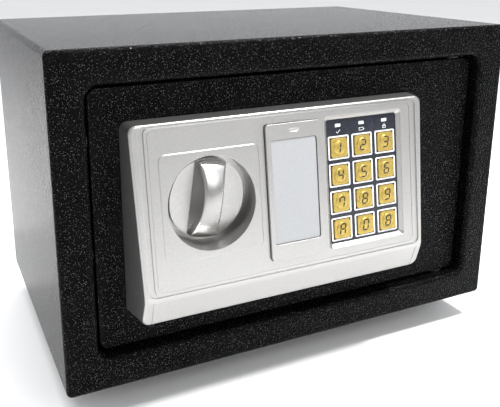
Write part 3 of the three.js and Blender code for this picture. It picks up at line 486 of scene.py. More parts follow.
def turned(name, profile, sides=64):
    """A body of revolution about Y. The profile lists (radius, y), from axis to axis or closed."""
    shape = bmesh.new()
    points = [shape.verts.new((radius, y, 0)) for radius, y in profile]
    edges = [shape.edges.new(pair) for pair in zip(points, points[1:])]
    bmesh.ops.spin(
        shape,
        geom=points + edges,
        cent=(0, 0, 0),
        axis=(0, 1, 0),
        angle=2 * math.pi,
        steps=sides,
        use_merge=True,
    )
    bmesh.ops.remove_doubles(shape, verts=shape.verts, dist=1e-7)
    bmesh.ops.dissolve_degenerate(shape, edges=shape.edges, dist=1e-8)
    bmesh.ops.recalc_face_normals(shape, faces=shape.faces)
    mesh = bpy.data.meshes.new(name)
    shape.to_mesh(mesh)
    shape.free()
    return make_object(name, mesh)


def moved(made, matrix):
    made.data.transform(matrix)
    return made


def settle(made):
    """Puts the object's modifiers into its mesh."""
    graph = bpy.context.evaluated_depsgraph_get()
    graph.update()
    done = bpy.data.meshes.new_from_object(made.evaluated_get(graph), depsgraph=graph)
    made.modifiers.clear()
    old = made.data
    done.name = made.name
    made.data = done
    bpy.data.meshes.remove(old)
    return made


def combine(operation, body, *tools):
    """Joins tools to a body, cuts them out of it or keeps what is common, and uses the tools up."""
    for tool in tools:
        step = body.modifiers.new("combine", "BOOLEAN")
        step.operation = operation
        step.solver = "EXACT"
        step.object = tool
        settle(body)
        bpy.data.objects.remove(tool)
    return body


def soften(made, width, segments=3, angle=34.0, clamp=True):
    """Rounds the object's sharp edges."""
    rounding = made.modifiers.new("rounding", "BEVEL")
    rounding.width = width
    rounding.segments = segments
    rounding.limit_method = "ANGLE"
    rounding.angle_limit = math.radians(angle)
    rounding.use_clamp_overlap = clamp
    rounding.miter_outer = "MITER_ARC"
    return settle(made)


def shade(made, angle=34.0):
    made.data.shade_smooth()
    made.data.set_sharp_from_angle(angle=math.radians(angle))
    weight = made.modifiers.new("weight", "WEIGHTED_NORMAL")
    weight.keep_sharp = True
    return settle(made)


def tidy_mesh(mesh, flat=0.6, merge=0.002 * MM):
    shape = bmesh.new()
    shape.from_mesh(mesh)
    bmesh.ops.remove_doubles(shape, verts=shape.verts, dist=merge)
    if flat is not None:
        angle = math.radians(flat)
        bmesh.ops.dissolve_limit(shape, angle_limit=angle, verts=shape.verts, edges=shape.edges)
        bmesh.ops.dissolve_degenerate(shape, edges=shape.edges, dist=merge)
    shape.to_mesh(mesh)
    shape.free()


def close_seam(mesh):
    """Joins one long open edge to the row of shorter ones that lies along it."""
    shape = bmesh.new()
    shape.from_mesh(mesh)
    open_edges = [edge for edge in shape.edges if edge.is_boundary]
    long_edge = max(open_edges, key=lambda edge: edge.calc_length())
    start = long_edge.verts[0].co.copy()
    inner = {vert for edge in open_edges for vert in edge.verts} - set(long_edge.verts)
    places = sorted((vert.co.copy() for vert in inner), key=lambda co: (co - start).length)
    split = bmesh.ops.bisect_edges(shape, edges=[long_edge], cuts=len(places))["geom_split"]
    added = [item for item in split if isinstance(item, bmesh.types.BMVert)]
    for vert, place in zip(sorted(added, key=lambda vert: (vert.co - start).length), places):
        vert.co = place
    bmesh.ops.remove_doubles(shape, verts=shape.verts, dist=0.001 * MM)
    shape.to_mesh(mesh)
    shape.free()


def paint(made, *names):
    made.data.materials.clear()
    for name in names:
        made.data.materials.append(FINISH[name])


def hand_over(made, body, slot, *nodes):
    """The piece is finished: it rides on its body and stands for its nodes."""
    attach(made, body)
    if nodes:
        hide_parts(*nodes)
    return made


# ------------------------------------------------------------------ Geometry Nodes


def make_tree(name, sockets):
    """An empty modifier tree with the named inputs, and its two end nodes."""
    tree = bpy.data.node_groups.new(name, "GeometryNodeTree")
    tree.is_modifier = True
    tree.interface.new_socket("Geometry", in_out="INPUT", socket_type="NodeSocketGeometry")
    for label, kind in sockets:
        tree.interface.new_socket(label, in_out="INPUT", socket_type="NodeSocket" + kind)
    tree.interface.new_socket("Geometry", in_out="OUTPUT", socket_type="NodeSocketGeometry")
    return tree, tree.nodes.new("NodeGroupInput").outputs


def end_tree(tree, shape, material):
    real = put(tree, "GeometryNodeRealizeInstances", {"Geometry": shape}).outputs[0]
    done = put(tree, "GeometryNodeSetMaterial", {"Geometry": real, "Material": material}).outputs[0]
    put(tree, "NodeGroupOutput", {"Geometry": done})
    return tree


def grow(made, tree, values):
    """Runs a tree on an object with its inputs set, and keeps the result as a plain mesh."""
    modifier = made.modifiers.new(tree.name, "NODES")
    modifier.node_group = tree
    for item in tree.interface.items_tree:
        if item.in_out == "INPUT" and item.name in values:
            modifier[item.identifier] = values[item.name]
    return settle(made)


def stroke_tree():
    """Flat printed strokes along the edges of a drawing in X and Y."""
    sockets = [("Stroke Width", "Float"), ("Ink Thickness", "Float"), ("Ink", "Material")]
    tree, given = make_tree("printed_strokes", sockets)
    line = put(tree, "GeometryNodeMeshToCurve", {"Mesh": given["Geometry"]}).outputs[0]
    level = put(tree, "GeometryNodeSetCurveNormal", {"Curve": line}, mode="Z_UP").outputs[0]
    section = put(
        tree,
        "GeometryNodeCurvePrimitiveQuadrilateral",
        {"Width": given["Stroke Width"], "Height": given["Ink Thickness"]},
    ).outputs[0]
    solid = put(
        tree,
        "GeometryNodeCurveToMesh",
        {"Curve": level, "Profile Curve": section, "Fill Caps": True},
    ).outputs[0]
    return end_tree(tree, solid, given["Ink"])


def repeat_tree():
    """The same piece at each point, each turned by its own amount about Z."""
    sockets = [("Piece", "Object"), ("Most Turn", "Float"), ("Seed", "Int"), ("Finish", "Material")]
    tree, given = make_tree("repeated_pieces", sockets)
    piece = put(tree, "GeometryNodeObjectInfo", {"Object": given["Piece"]}).outputs["Geometry"]
    angle = put(
        tree,
        "FunctionNodeRandomValue",
        {"Max": given["Most Turn"], "Seed": given["Seed"]},
        data_type="FLOAT",
    ).outputs["Value"]
    turn = put(tree, "ShaderNodeCombineXYZ", {"Z": angle}).outputs[0]
    spread = put(
        tree,
        "GeometryNodeInstanceOnPoints",
        {"Points": given["Geometry"], "Instance": piece, "Rotation": turn},
    ).outputs[0]
    return end_tree(tree, spread, given["Finish"])


def winding_tree():
    """Round wire wound in a straight coil about Z."""
    sockets = [
        ("Coil Radius", "Float"),
        ("Coil Height", "Float"),
        ("Turns", "Float"),
        ("Wire Radius", "Float"),
        ("Wire", "Material"),
    ]
    tree, given = make_tree("wound_wire", sockets)
    coil = put(
        tree,
        "GeometryNodeCurveSpiral",
        {
            "Resolution": 28,
            "Rotations": given["Turns"],
            "Start Radius": given["Coil Radius"],
            "End Radius": given["Coil Radius"],
            "Height": given["Coil Height"],
        },
    ).outputs[0]
    section = put(
        tree,
        "GeometryNodeCurvePrimitiveCircle",
        {"Resolution": 6, "Radius": given["Wire Radius"]},
    ).outputs[0]
    solid = put(
        tree,
        "GeometryNodeCurveToMesh",
        {"Curve": coil, "Profile Curve": section, "Fill Caps": True},
    ).outputs[0]
    return end_tree(tree, solid, given["Wire"])


STROKES = stroke_tree()
REPEATS = repeat_tree()
WINDING = winding_tree()


def drawing(name, lines):
    """A wire drawing in X and Y from (points, closed) lines."""
    points, edges = [], []
    for line, closed in lines:
        start = len(points)
        points += [(x, y, 0) for x, y in line]
        edges += [(start + i, start + i + 1) for i in range(len(line) - 1)]
        if closed:
            edges.append((start + len(line) - 1, start))
    mesh = bpy.data.meshes.new(name)
    mesh.from_pydata(points, edges, [])
    return make_object(name, mesh)


def printed(name, lines, width, thickness, ink):
    values = {"Stroke Width": width, "Ink Thickness": thickness, "Ink": FINISH[ink]}
    return grow(drawing(name, lines), STROKES, values)


# ------------------------------------------------------------------ case

FOLD = 2.5 * MM
CORNER = 3.5 * MM
SHEET = 2 * MM
OPENING_RADIUS = 8 * MM
ROLL = 3.5 * MM
DOOR_CLEARANCE = 2 * MM
ANCHOR_RADIUS = 5 * MM


def quarter(steps):
    return [math.pi / 2 * i / steps for i in range(steps + 1)]


def build_case():
    front_low, front_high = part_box("front_frame")
    back_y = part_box("back_panel")[1].y
    front_y, jamb_y = front_low.y, front_high.y
    width, height = front_high.x - front_low.x, front_high.z - front_low.z
    middle_z = (front_low.z + front_high.z) / 2
    door_low, door_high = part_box("door_plate")
    open_width = door_high.x - door_low.x + 2 * DOOR_CLEARANCE
    open_height = door_high.z - door_low.z + 2 * DOOR_CLEARANCE

    def outside(inset, y):
        radius = max(CORNER - inset, 0.8 * MM)
        return at(outline(width - 2 * inset, height - 2 * inset, radius, 0, middle_z, 8), y)

    def opening(spread, y, radius=OPENING_RADIUS):
        size = (open_width + 2 * spread, open_height + 2 * spread)
        return at(outline(*size, radius + spread, 0, middle_z, 8), y)

    rings = [outside(FOLD * (1 - math.sin(a)), back_y - FOLD * (1 - math.cos(a))) for a in quarter(6)]
    rings += [outside(FOLD * (1 - math.cos(a)), front_y + FOLD * (1 - math.sin(a))) for a in quarter(6)]
    rings += [opening(ROLL * (1 - math.sin(a)), front_y + ROLL * (1 - math.cos(a))) for a in quarter(7)]
    rings += [
        opening(0, jamb_y - 0.4 * MM),
        opening(0.4 * MM, jamb_y),
        opening(SHEET - 0.4 * MM, jamb_y),
        opening(SHEET, jamb_y - 0.4 * MM),
        opening(SHEET, front_y + SHEET),
        outside(SHEET, front_y + SHEET),
        outside(SHEET, back_y - SHEET),
    ]
    shell = stack("case_shell", rings)

    holes = []
    for side in (-1, 1):
        low, high = hole_place("back_anchor", side)
        turn = circle(ANCHOR_RADIUS, (low.x + high.x) / 2, (low.z + high.z) / 2, 40)
        holes.append(prism("anchor", turn, (back_y - 3 * SHEET, back_y + SHEET)))
        low, high = hole_place("base_anchor", side)
        down = prism("anchor", circle(ANCHOR_RADIUS, 0, 0, 40), (-3 * SHEET, 3 * SHEET))
        moved(down, Matrix.Rotation(math.pi / 2, 4, "X"))
        holes.append(moved(down, Matrix.Translation(((low.x + high.x) / 2, (low.y + high.y) / 2, 0))))
    combine("DIFFERENCE", shell, *holes)
    pins = []
    for node in ("hinge_pin_top", "hinge_pin_bottom"):
        low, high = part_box(node)
        middle = (low + high) / 2
        pin = prism("pin", circle(3 * MM, 0, 0, 32), (low.z - MM, high.z + MM))
        moved(pin, Matrix.Rotation(math.pi / 2, 4, "X"))
        moved(pin, Matrix.Translation((middle.x, middle.y, 0)))
        pins.append(pin)
    combine("DIFFERENCE", shell, *pins)
    tidy_mesh(shell.data, flat=0.05)
    shade(shell)
    paint(shell, "case_paint")
    hand_over(shell, "case", "case_paint", "front_frame", "body_wrap", "back_panel")


def hole_place(name, side):
    """The box of one of the record's anchor holes."""
    label = name + ("_right" if side > 0 else "_left")
    openings = frame["record"]["physics"]["openings"]
    low, high = next(entry["box_m"] for entry in openings if entry["name"] == label)
    return Vector(low), Vector(high)


# ------------------------------------------------------------------ panel

lean_axis = next(j["axis"] for j in frame["joints"] if j["name"] == "key_1_press")
LEAN = math.atan2(-lean_axis[2], lean_axis[1])
PANEL_LOW, PANEL_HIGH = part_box("panel_bezel")
CHIN_HEIGHT = 18 * MM
CHIN_SETBACK = 6 * MM
CREASE = Vector((0, PANEL_LOW.y, PANEL_LOW.z + CHIN_HEIGHT))
FACE = Matrix.Translation(CREASE) @ Matrix.Rotation(-LEAN, 4, "X")
PANEL_X = (PANEL_LOW.x + PANEL_HIGH.x) / 2
PANEL_Z = (PANEL_LOW.z + PANEL_HIGH.z) / 2
PANEL_WIDTH = PANEL_HIGH.x - PANEL_LOW.x
PANEL_HEIGHT = PANEL_HIGH.z - PANEL_LOW.z
PANEL_RADIUS = 5 * MM
PANEL_WALL = 2.4 * MM
SIDE_DRAFT = 0.154
END_DRAFT = 0.03
FACE_LENGTH = 98.6 * MM
ROW_Z = 50.05 * MM  # middle of the bays, up the face
FIELD_MARGIN = 5.8 * MM
FIELD_MARGIN_END = 2.6 * MM

WELL_RADIUS = 27 * MM
WELL_FLOOR_Y = -98 * MM
PLATEAU = 61.5 * MM
PLATEAU_RISE = 0.4 * MM
KEYPAD_LOW, KEYPAD_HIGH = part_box("keypad_faceplate")
RECESS_X = (KEYPAD_LOW.x + KEYPAD_HIGH.x) / 2
RECESS_SIZE = (56.5 * MM, 81.9 * MM)
RECESS_FLOOR = 4 * MM
RIM_ROUND = 0.7 * MM
LIP_REACH = 2.1 * MM
PLATE_FRONT = 2.5 * MM
COVER_LOW, COVER_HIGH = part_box("override_cover")
COVER_X = (COVER_LOW.x + COVER_HIGH.x) / 2
COVER_SIZE = (37.2 * MM, 81.3 * MM)
KNOB_LOW, KNOB_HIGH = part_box("knob")
KNOB_X = (KNOB_LOW.x + KNOB_HIGH.x) / 2
KNOB_Z = (KNOB_LOW.z + KNOB_HIGH.z) / 2


def panel_block(name, skin, reach):
    """The panel's outline drawn forward from behind the door's face, with its drafted sides."""
    rings = []
    for y in (PANEL_HIGH.y + reach, CREASE.y - 10 * MM):
        rise = PANEL_HIGH.y - y
        width = PANEL_WIDTH - 2 * skin - 2 * SIDE_DRAFT * rise
        height = PANEL_HEIGHT - 2 * skin - 2 * END_DRAFT * rise
        rings.append(at(outline(width, height, PANEL_RADIUS - skin, PANEL_X, PANEL_Z, 8), y))
    return stack(name, rings)


def panel_wedge(name, skin, margin):
    """The panel's side view, with its crease softened: a leaning face over a chin."""
    face_slope = math.tan(LEAN)
    chin_slope = CHIN_SETBACK / CHIN_HEIGHT
    face_y = CREASE.y + skin / math.cos(LEAN)
    chin_y = CREASE.y + skin / math.cos(math.atan(chin_slope))
    crease_z = CREASE.z + (chin_y - face_y) / (face_slope + chin_slope)
    crease_y = face_y + (crease_z - CREASE.z) * face_slope
    soft = 2.4 * MM
    above = Vector((crease_y + soft * face_slope, crease_z + soft))
    below = Vector((crease_y + soft * chin_slope, crease_z - soft))
    corner = Vector((crease_y, crease_z))
    bend = []
    for i in range(7):
        t = i / 6
        bend.append(below * (1 - t) ** 2 + corner * (2 * t * (1 - t)) + above * t**2)
    run = 90 * MM
    top = Vector((crease_y + 1.5 * run * face_slope, crease_z + 1.5 * run))
    low = Vector((crease_y + 0.5 * run * chin_slope, crease_z - 0.5 * run))
    rear = 30 * MM
    side = [(low.x + rear, low.y), (low.x, low.y), *[(p.x, p.y) for p in bend], (top.x, top.y)]
    side.append((top.x + rear, top.y))
    return profile_bar(name, side, (PANEL_LOW.x - margin, PANEL_HIGH.x + margin))


def panel_form(name, skin, reach):
    return combine("INTERSECT", panel_block(name, skin, reach), panel_wedge("wedge", skin, 10 * MM))


def on_face(name, points, y):
    return moved(prism(name, points, y), FACE)


def keypad_recess():
    """The keypad's recess: a rounded rim, sloped sides down to a lip over the faceplate, and the
    faceplate's seat behind the lip."""
    rim = [(RIM_ROUND * (1 - math.sin(a)), RIM_ROUND * (1 - math.cos(a)) - 0.01 * MM) for a in quarter(4)]
    lip_y = PLATE_FRONT - 0.08 * MM
    steps = [(RIM_ROUND, -5 * MM), *rim, (-LIP_REACH, lip_y - 0.2 * MM), (-LIP_REACH, lip_y)]
    steps += [(0, lip_y), (0, RECESS_FLOOR)]
    rings = []
    for spread, y in steps:
        width, height = (size + 2 * spread for size in RECESS_SIZE)
        rings.append(at(outline(width, height, 2.4 * MM + 0.5 * spread, RECESS_X, ROW_Z, 6), y))
    return moved(stack("recess", rings), FACE)


def field_line(name, inset, width_side, width_end, depth):
    """A groove round the face's field."""
    rise = PANEL_HIGH.y - CREASE.y
    width = PANEL_WIDTH - 2 * SIDE_DRAFT * rise - 2 * FIELD_MARGIN - 2 * inset
    height = FACE_LENGTH - 2 * FIELD_MARGIN_END - 1.4 * inset
    outer = outline(width + 2 * width_side, height + 2 * width_end, 4 * MM, PANEL_X, FACE_LENGTH / 2)
    inner = outline(width, height, 3 * MM, PANEL_X, FACE_LENGTH / 2)
    return moved(hoop(name, outer, inner, (-2 * MM, depth)), FACE)


def chin_line(x):
    """A fine groove down the chin."""
    slope = CHIN_SETBACK / CHIN_HEIGHT
    half = 0.22 * MM
    depth = 0.3 * MM
    top, low = CREASE.z - 1.5 * MM, PANEL_LOW.z + 2.2 * MM
    side = []
    for z, push in ((low, -3 * MM), (top, -3 * MM), (top, depth), (low, depth)):
        side.append((CREASE.y + (CREASE.z - z) * slope + push, z))
    return profile_bar("chin_line", side, (x - half, x + half))


def build_panel():
    body = soften(panel_form("panel_shell", 0, 8 * MM), 1.5 * MM, 4)
    hollow = panel_form("hollow", PANEL_WALL, 12 * MM)
    behind = profile_bar(
        "behind",
        [(PANEL_HIGH.y, 0), (PANEL_HIGH.y + 30 * MM, 0), (PANEL_HIGH.y + 30 * MM, 0.2), (PANEL_HIGH.y, 0.2)],
        (PANEL_LOW.x - 10 * MM, PANEL_HIGH.x + 10 * MM),
    )
    solid = panel_form("solid", 0.05 * MM, 2 * MM)
    combine("DIFFERENCE", body, hollow, behind)
    cup = prism("cup", circle(WELL_RADIUS + PANEL_WALL, KNOB_X, KNOB_Z), (-0.14, WELL_FLOOR_Y + PANEL_WALL))
    cup = combine("INTERSECT", cup, solid)
    tub_size = [size + 2 * PANEL_WALL for size in RECESS_SIZE]
    tub = on_face("tub", outline(*tub_size, 2 * MM, RECESS_X, ROW_Z), (0.6 * MM, RECESS_FLOOR + 1.5 * MM))
    rings = []
    for inset, y in ((0, PANEL_WALL / 2), (0, 0), (0.35 * MM, -PLATEAU_RISE)):
        size = PLATEAU - 2 * inset
        rings.append(at(outline(size, size, 4 * MM - inset, KNOB_X, ROW_Z), y))
    plateau = moved(stack("plateau", rings), FACE)
    combine("UNION", body, cup, tub, plateau)

    behind_keys = [size - 6 * MM for size in RECESS_SIZE]
    combine(
        "DIFFERENCE",
        body,
        field_line("groove", 0, 3 * MM, 1.2 * MM, 0.8 * MM),
        keypad_recess(),
        on_face("key_room", outline(*behind_keys, MM, RECESS_X, ROW_Z), (0, RECESS_FLOOR + 4 * MM)),
        on_face("pocket", outline(37.8 * MM, RECESS_SIZE[1], 2 * MM, COVER_X, ROW_Z), (-MM, 1.2 * MM)),
        prism("well", circle(WELL_RADIUS, KNOB_X, KNOB_Z), (-0.14, WELL_FLOOR_Y)),
        prism("spindle_hole", circle(4.6 * MM, KNOB_X, KNOB_Z, 48), (WELL_FLOOR_Y - MM, -0.09)),
        prism("lock_hole", circle(9.8 * MM, COVER_X, KNOB_Z, 64), (-0.13, -0.09)),
    )
    tidy_mesh(body.data, flat=0.05, merge=0.01 * MM)
    soften(body, 0.28 * MM, 2, clamp=False)
    crease_half = PANEL_WIDTH / 2 - SIDE_DRAFT * (PANEL_HIGH.y - CREASE.y)
    combine(
        "DIFFERENCE",
        body,
        field_line("inner_line", 2.1 * MM, 0.4 * MM, 0.35 * MM, 0.25 * MM),
        chin_line(PANEL_X - crease_half + 4.6 * MM),
        chin_line(PANEL_X + crease_half - 4.6 * MM),
    )
    close_seam(body.data)
    shade(body, 30)
    paint(body, "panel_silver")
    hand_over(body, "door", "panel_silver", "panel_bezel")


def build_cover():
    front_y, back_y = -1.93 * MM, 0.9 * MM
    body = prism("lock_cover", outline(*COVER_SIZE, 2 * MM, COVER_X, ROW_Z, 8), (front_y, back_y))
    seat = prism("seat", outline(31.2 * MM, 62.6 * MM, 1.8 * MM, COVER_X, ROW_Z, 8), (-3 * MM, -0.3 * MM))
    bpy.ops.mesh.primitive_uv_sphere_add(segments=40, ring_count=20)
    dimple = bpy.context.object
    moved(dimple, Matrix.Diagonal((4.2 * MM, 0.5 * MM, 1.3 * MM, 1)))
    moved(dimple, Matrix.Translation((COVER_X, front_y, ROW_Z + COVER_SIZE[1] / 2 - 4.4 * MM)))
    combine("DIFFERENCE", body, seat)
    tidy_mesh(body.data, flat=0.05)
    soften(body, 0.65 * MM, 3)
    combine("DIFFERENCE", body, dimple)
    shade(moved(body, FACE))
    paint(body, "panel_silver")
    hand_over(body, "override_cover", "panel_silver", "override_cover")


# ------------------------------------------------------------------ knob

KNOB_RADIUS = 23.7 * MM
KNOB_RIM_Y = -103.2 * MM
KNOB_REAR_Y = -99 * MM
GRIP_HALF = 9.25 * MM
GRIP_HEIGHT = 10.5 * MM
GRIP_TAPER = 3.25 * MM
GRIP_TILT = math.radians(7.7)
DISH = 1.7 * MM


def grip_section(along, height):
    """Half-round shouldered section of the grip at one place along it, in X and Y."""
    lean = GRIP_TAPER * height / GRIP_HEIGHT
    top = GRIP_HALF - lean
    soft = min(2.2 * MM, 0.45 * height + 0.02 * MM)
    crown = 0.55 * MM * height / GRIP_HEIGHT
    half = [(GRIP_HALF + 0.6 * MM, -2.2 * MM), (GRIP_HALF, 0)]
    half += [
        (top - soft * (1 - math.cos(a)), height - crown - soft * (1 - math.sin(a))) for a in quarter(6)
    ]
    half += [(0.5 * (top - soft), height - crown * 0.25)]
    other = [(-x, y) for x, y in reversed(half)]
    return [Vector((x, -y, along)) for x, y in [*half, (0, height), *other]]


def build_knob():
    disc = turned(
        "knob_cap",
        [
            (0, 0),
            (KNOB_RADIUS - 1.1 * MM, 0),
            (KNOB_RADIUS - 0.55 * MM, 0.15 * MM),
            (KNOB_RADIUS - 0.15 * MM, 0.55 * MM),
            (KNOB_RADIUS, 1.1 * MM),
            (KNOB_RADIUS, KNOB_REAR_Y - KNOB_RIM_Y),
            (0, KNOB_REAR_Y - KNOB_RIM_Y),
        ],
        128,
    )
    trough = (14 * MM) ** 2 / (2 * DISH) + DISH / 2
    for side in (-1, 1):
        turn = [(trough * math.cos(a), trough * math.sin(a)) for a in [math.tau * i / 400 for i in range(400)]]
        rings = []
        for along in (-30 * MM, 30 * MM):
            rings.append(
                [Vector((side * GRIP_HALF + x, DISH - trough + y, along)) for x, y in turn]
            )
        combine("DIFFERENCE", disc, stack("dish", rings))
    half = KNOB_RADIUS - 0.2 * MM
    arc = (half**2 + GRIP_HEIGHT**2) / (2 * GRIP_HEIGHT)
    rings = []
    steps = 44
    for i in range(steps + 1):
        along = half * math.sin(math.pi * (i / steps - 0.5))
        height = max(math.sqrt(arc**2 - along**2) - (arc - GRIP_HEIGHT), 0.06 * MM)
        rings.append(grip_section(along, height))
    grip = stack("grip", rings)
    trim = prism("trim", circle(KNOB_RADIUS - 0.3 * MM, 0, 0, 128), (-20 * MM, 10 * MM))
    combine("INTERSECT", grip, trim)
    combine("UNION", disc, grip)
    socket = prism("socket", circle(4.3 * MM, 0, 0, 48), (-5 * MM, 8 * MM))
    combine("DIFFERENCE", disc, socket)
    tidy_mesh(disc.data, flat=0.05, merge=0.008 * MM)
    turn = Matrix.Translation((KNOB_X, KNOB_RIM_Y, KNOB_Z)) @ Matrix.Rotation(GRIP_TILT, 4, "Y")
    moved(disc, turn)
    shade(disc, 32)
    paint(disc, "knob_silver")
    hand_over(disc, "knob", "panel_silver", "knob")


# ------------------------------------------------------------------ keypad

KEY_HALF = 6 * MM
KEY_SKIRT = 7.2 * MM
KEY_TOP = 1.6 * MM
KEY_REAR = 4 * MM
DOME_RADIUS = 4.35 * MM
DOME_HEIGHT = 0.68 * MM
PITCH = (17.4 * MM, 17.1 * MM)
KEYS = ["1", "2", "3", "4", "5", "6", "7", "8", "9", "a", "0", "b"]

# The bars of each character, named as on a calculator: a is the top bar, then clockwise to f, and
# g is the middle one.
BARS = {
    "0": "abcdef",
    "1": "bc",
    "2": "abged",
    "3": "abgcd",
    "4": "fgbc",
    "5": "afgcd",
    "6": "afgedc",
    "7": "fabc",
    "8": "abcdefg",
    "9": "abcdfg",
    "a": "abcefg",
    "b": "abcdefg",
}


def key_ring(half_size, radius, y, roundness):
    """32 points between a soft square and a circle."""
    points = []
    for i in range(32):
        angle = math.tau * (i + 0.5) / 32
        c, s = math.cos(angle), math.sin(angle)
        reach = half_size / max(abs(c), abs(s))
        corner = half_size * 1.32
        square = min(reach, corner)
        size = square * (1 - roundness) + radius * roundness
        points.append(Vector((size * c, y, size * s)))
    return points


def dome_height(distance):
    share = min(distance / DOME_RADIUS, 1.0)
    return DOME_HEIGHT * (0.35 + 0.65 * (1 - share**2)) if share < 0.985 else 0.0


def key_cap(name):
    rings = [
        key_ring(0, 3 * MM, 7.3 * MM, 1),
        key_ring(0, 3 * MM, KEY_REAR + MM, 1),
        key_ring(KEY_SKIRT, 0, KEY_REAR + MM, 0),
        key_ring(KEY_SKIRT, 0, KEY_REAR, 0),
        key_ring(KEY_HALF, 0, KEY_REAR, 0),
        key_ring(KEY_HALF, 0, KEY_TOP + 0.45 * MM, 0),
        key_ring(KEY_HALF - 0.12 * MM, 0, KEY_TOP + 0.13 * MM, 0),
        key_ring(KEY_HALF - 0.45 * MM, 0, KEY_TOP, 0),
        key_ring(0, DOME_RADIUS + 0.28 * MM, KEY_TOP, 1),
        key_ring(0, DOME_RADIUS + 0.12 * MM, KEY_TOP + 0.12 * MM, 1),
        key_ring(0, DOME_RADIUS, KEY_TOP - 0.05 * MM, 1),
    ]
    for share in (0.94, 0.8, 0.6, 0.4, 0.2, 0.03):
        distance = DOME_RADIUS * share
        rings.append(key_ring(0, distance, KEY_TOP - dome_height(distance), 1))
    return stack(name, rings)


def character(symbol):
    """A slanted character's bars as lines, each of a few points so that they follow the dome."""
    w, h, slant, cut = 1.72 * MM, 3.2 * MM, 0.16, 0.36 * MM
    shift = -0.8 * w if symbol == "1" else -0.12 * MM
    ends = {
        "a": ((-w + cut, h), (w - cut, h)),
        "b": ((w, h - cut), (w, cut)),
        "c": ((w, -cut), (w, -h + cut)),
        "d": ((w - cut, -h), (-w + cut, -h)),
        "e": ((-w, -h + cut), (-w, -cut)),
        "f": ((-w, cut), (-w, h - cut)),
        "g": ((-w + cut, 0), (w - cut, 0)),
    }
    lines = []
    for bar in BARS[symbol]:
        (x0, z0), (x1, z1) = ends[bar]
        line = []
        for i in range(6):
            x, z = x0 + (x1 - x0) * i / 5, z0 + (z1 - z0) * i / 5
            line.append((x + slant * z + shift, z))
        lines.append((line, False))
    return lines


def lay_on_face(mesh):
    """Turns a drawing in X and Y to stand on the face, its +Z towards the front."""
    mesh.transform(Matrix.Rotation(math.pi / 2, 4, "X"))


def build_keypad():
    rows, columns = 4, 3
    bottom = ROW_Z - RECESS_SIZE[1] / 2 + 4.8 * MM + KEY_HALF
    places = []
    for index, symbol in enumerate(KEYS):
        x = RECESS_X + (index % columns - 1) * PITCH[0]
        z = bottom + (rows - 1 - index // columns) * PITCH[1]
        places.append((x, z))
        cap = key_cap(f"cap_{symbol}")
        tidy_mesh(cap.data, flat=0.01)
        ink = printed("character", character(symbol), 0.88 * MM, 0.1 * MM, "key_ink")
        lay_on_face(ink.data)
        for vertex in ink.data.vertices:
            distance = math.hypot(vertex.co.x, vertex.co.z)
            vertex.co.y += KEY_TOP - dome_height(distance) - 0.02 * MM
        paint(cap, "key_gold")
        cap = join_pieces(shade(cap, 40), ink)
        moved(cap, FACE @ Matrix.Translation((x, 0, z)))
        hand_over(cap, f"key_{symbol}", "key_gold", f"key_{symbol}")

    frames = []
    for x, z in places:
        frames.append((outline(14.2 * MM, 13.8 * MM, 0.5 * MM, x, z, 3), True))
    print_on_plate("key_frames", frames, 1.0 * MM)
    window_z = ROW_Z + RECESS_SIZE[1] / 2 - 6 * MM
    signs = []
    for x, sign in zip((-1, 0, 1), (tick_sign, cell_sign, padlock_sign)):
        signs += [
            ([(RECESS_X + x * PITCH[0] + px, window_z - 3.9 * MM + pz) for px, pz in line], closed)
            for line, closed in sign()
        ]
    print_on_plate("window_signs", signs, 0.4 * MM)


def print_on_plate(name, lines, width):
    made = printed(name, lines, width, 0.1 * MM, "white_ink")
    lay_on_face(made.data)
    made.data.shade_flat()
    moved(made, FACE @ Matrix.Translation((0, PLATE_FRONT, 0)))
    hand_over(made, "door", "faceplate")


def tick_sign():
    return [([(-1.3 * MM, 0.1 * MM), (-0.4 * MM, -0.9 * MM), (1.4 * MM, 1.1 * MM)], False)]


def cell_sign():
    body = [(-1.8 * MM, -0.8 * MM), (1.4 * MM, -0.8 * MM), (1.4 * MM, 0.8 * MM), (-1.8 * MM, 0.8 * MM)]
    level = [(-1.2 * MM, -0.2 * MM), (-1.2 * MM, 0.2 * MM)]
    return [(body, True), ([(1.9 * MM, -0.35 * MM), (1.9 * MM, 0.35 * MM)], False), (level, False)]


def padlock_sign():
    body = [(-1.1 * MM, -1.1 * MM), (1.1 * MM, -1.1 * MM), (1.1 * MM, 0.2 * MM), (-1.1 * MM, 0.2 * MM)]
    bow = [(0.7 * MM * math.cos(a), 0.35 * MM + 0.9 * MM * math.sin(a)) for a in [math.pi * i / 8 for i in range(9)]]
    return [(body, True), (bow, False), ([(0, -0.6 * MM), (0, -0.35 * MM)], False)]


def join_pieces(first, *others):
    """One object from several, each keeping its own finish."""
    for made in others:
        first.data.materials.append(made.data.materials[0])
        slot = len(first.data.materials) - 1
        shape = bmesh.new()
        shape.from_mesh(first.data)
        before = len(shape.faces)
        shape.from_mesh(made.data)
        shape.faces.ensure_lookup_table()
        for face in shape.faces[before:]:
            face.material_index = slot
        shape.to_mesh(first.data)
        shape.free()
        bpy.data.objects.remove(made)
    return first


# ------------------------------------------------------------------ small repeated pieces


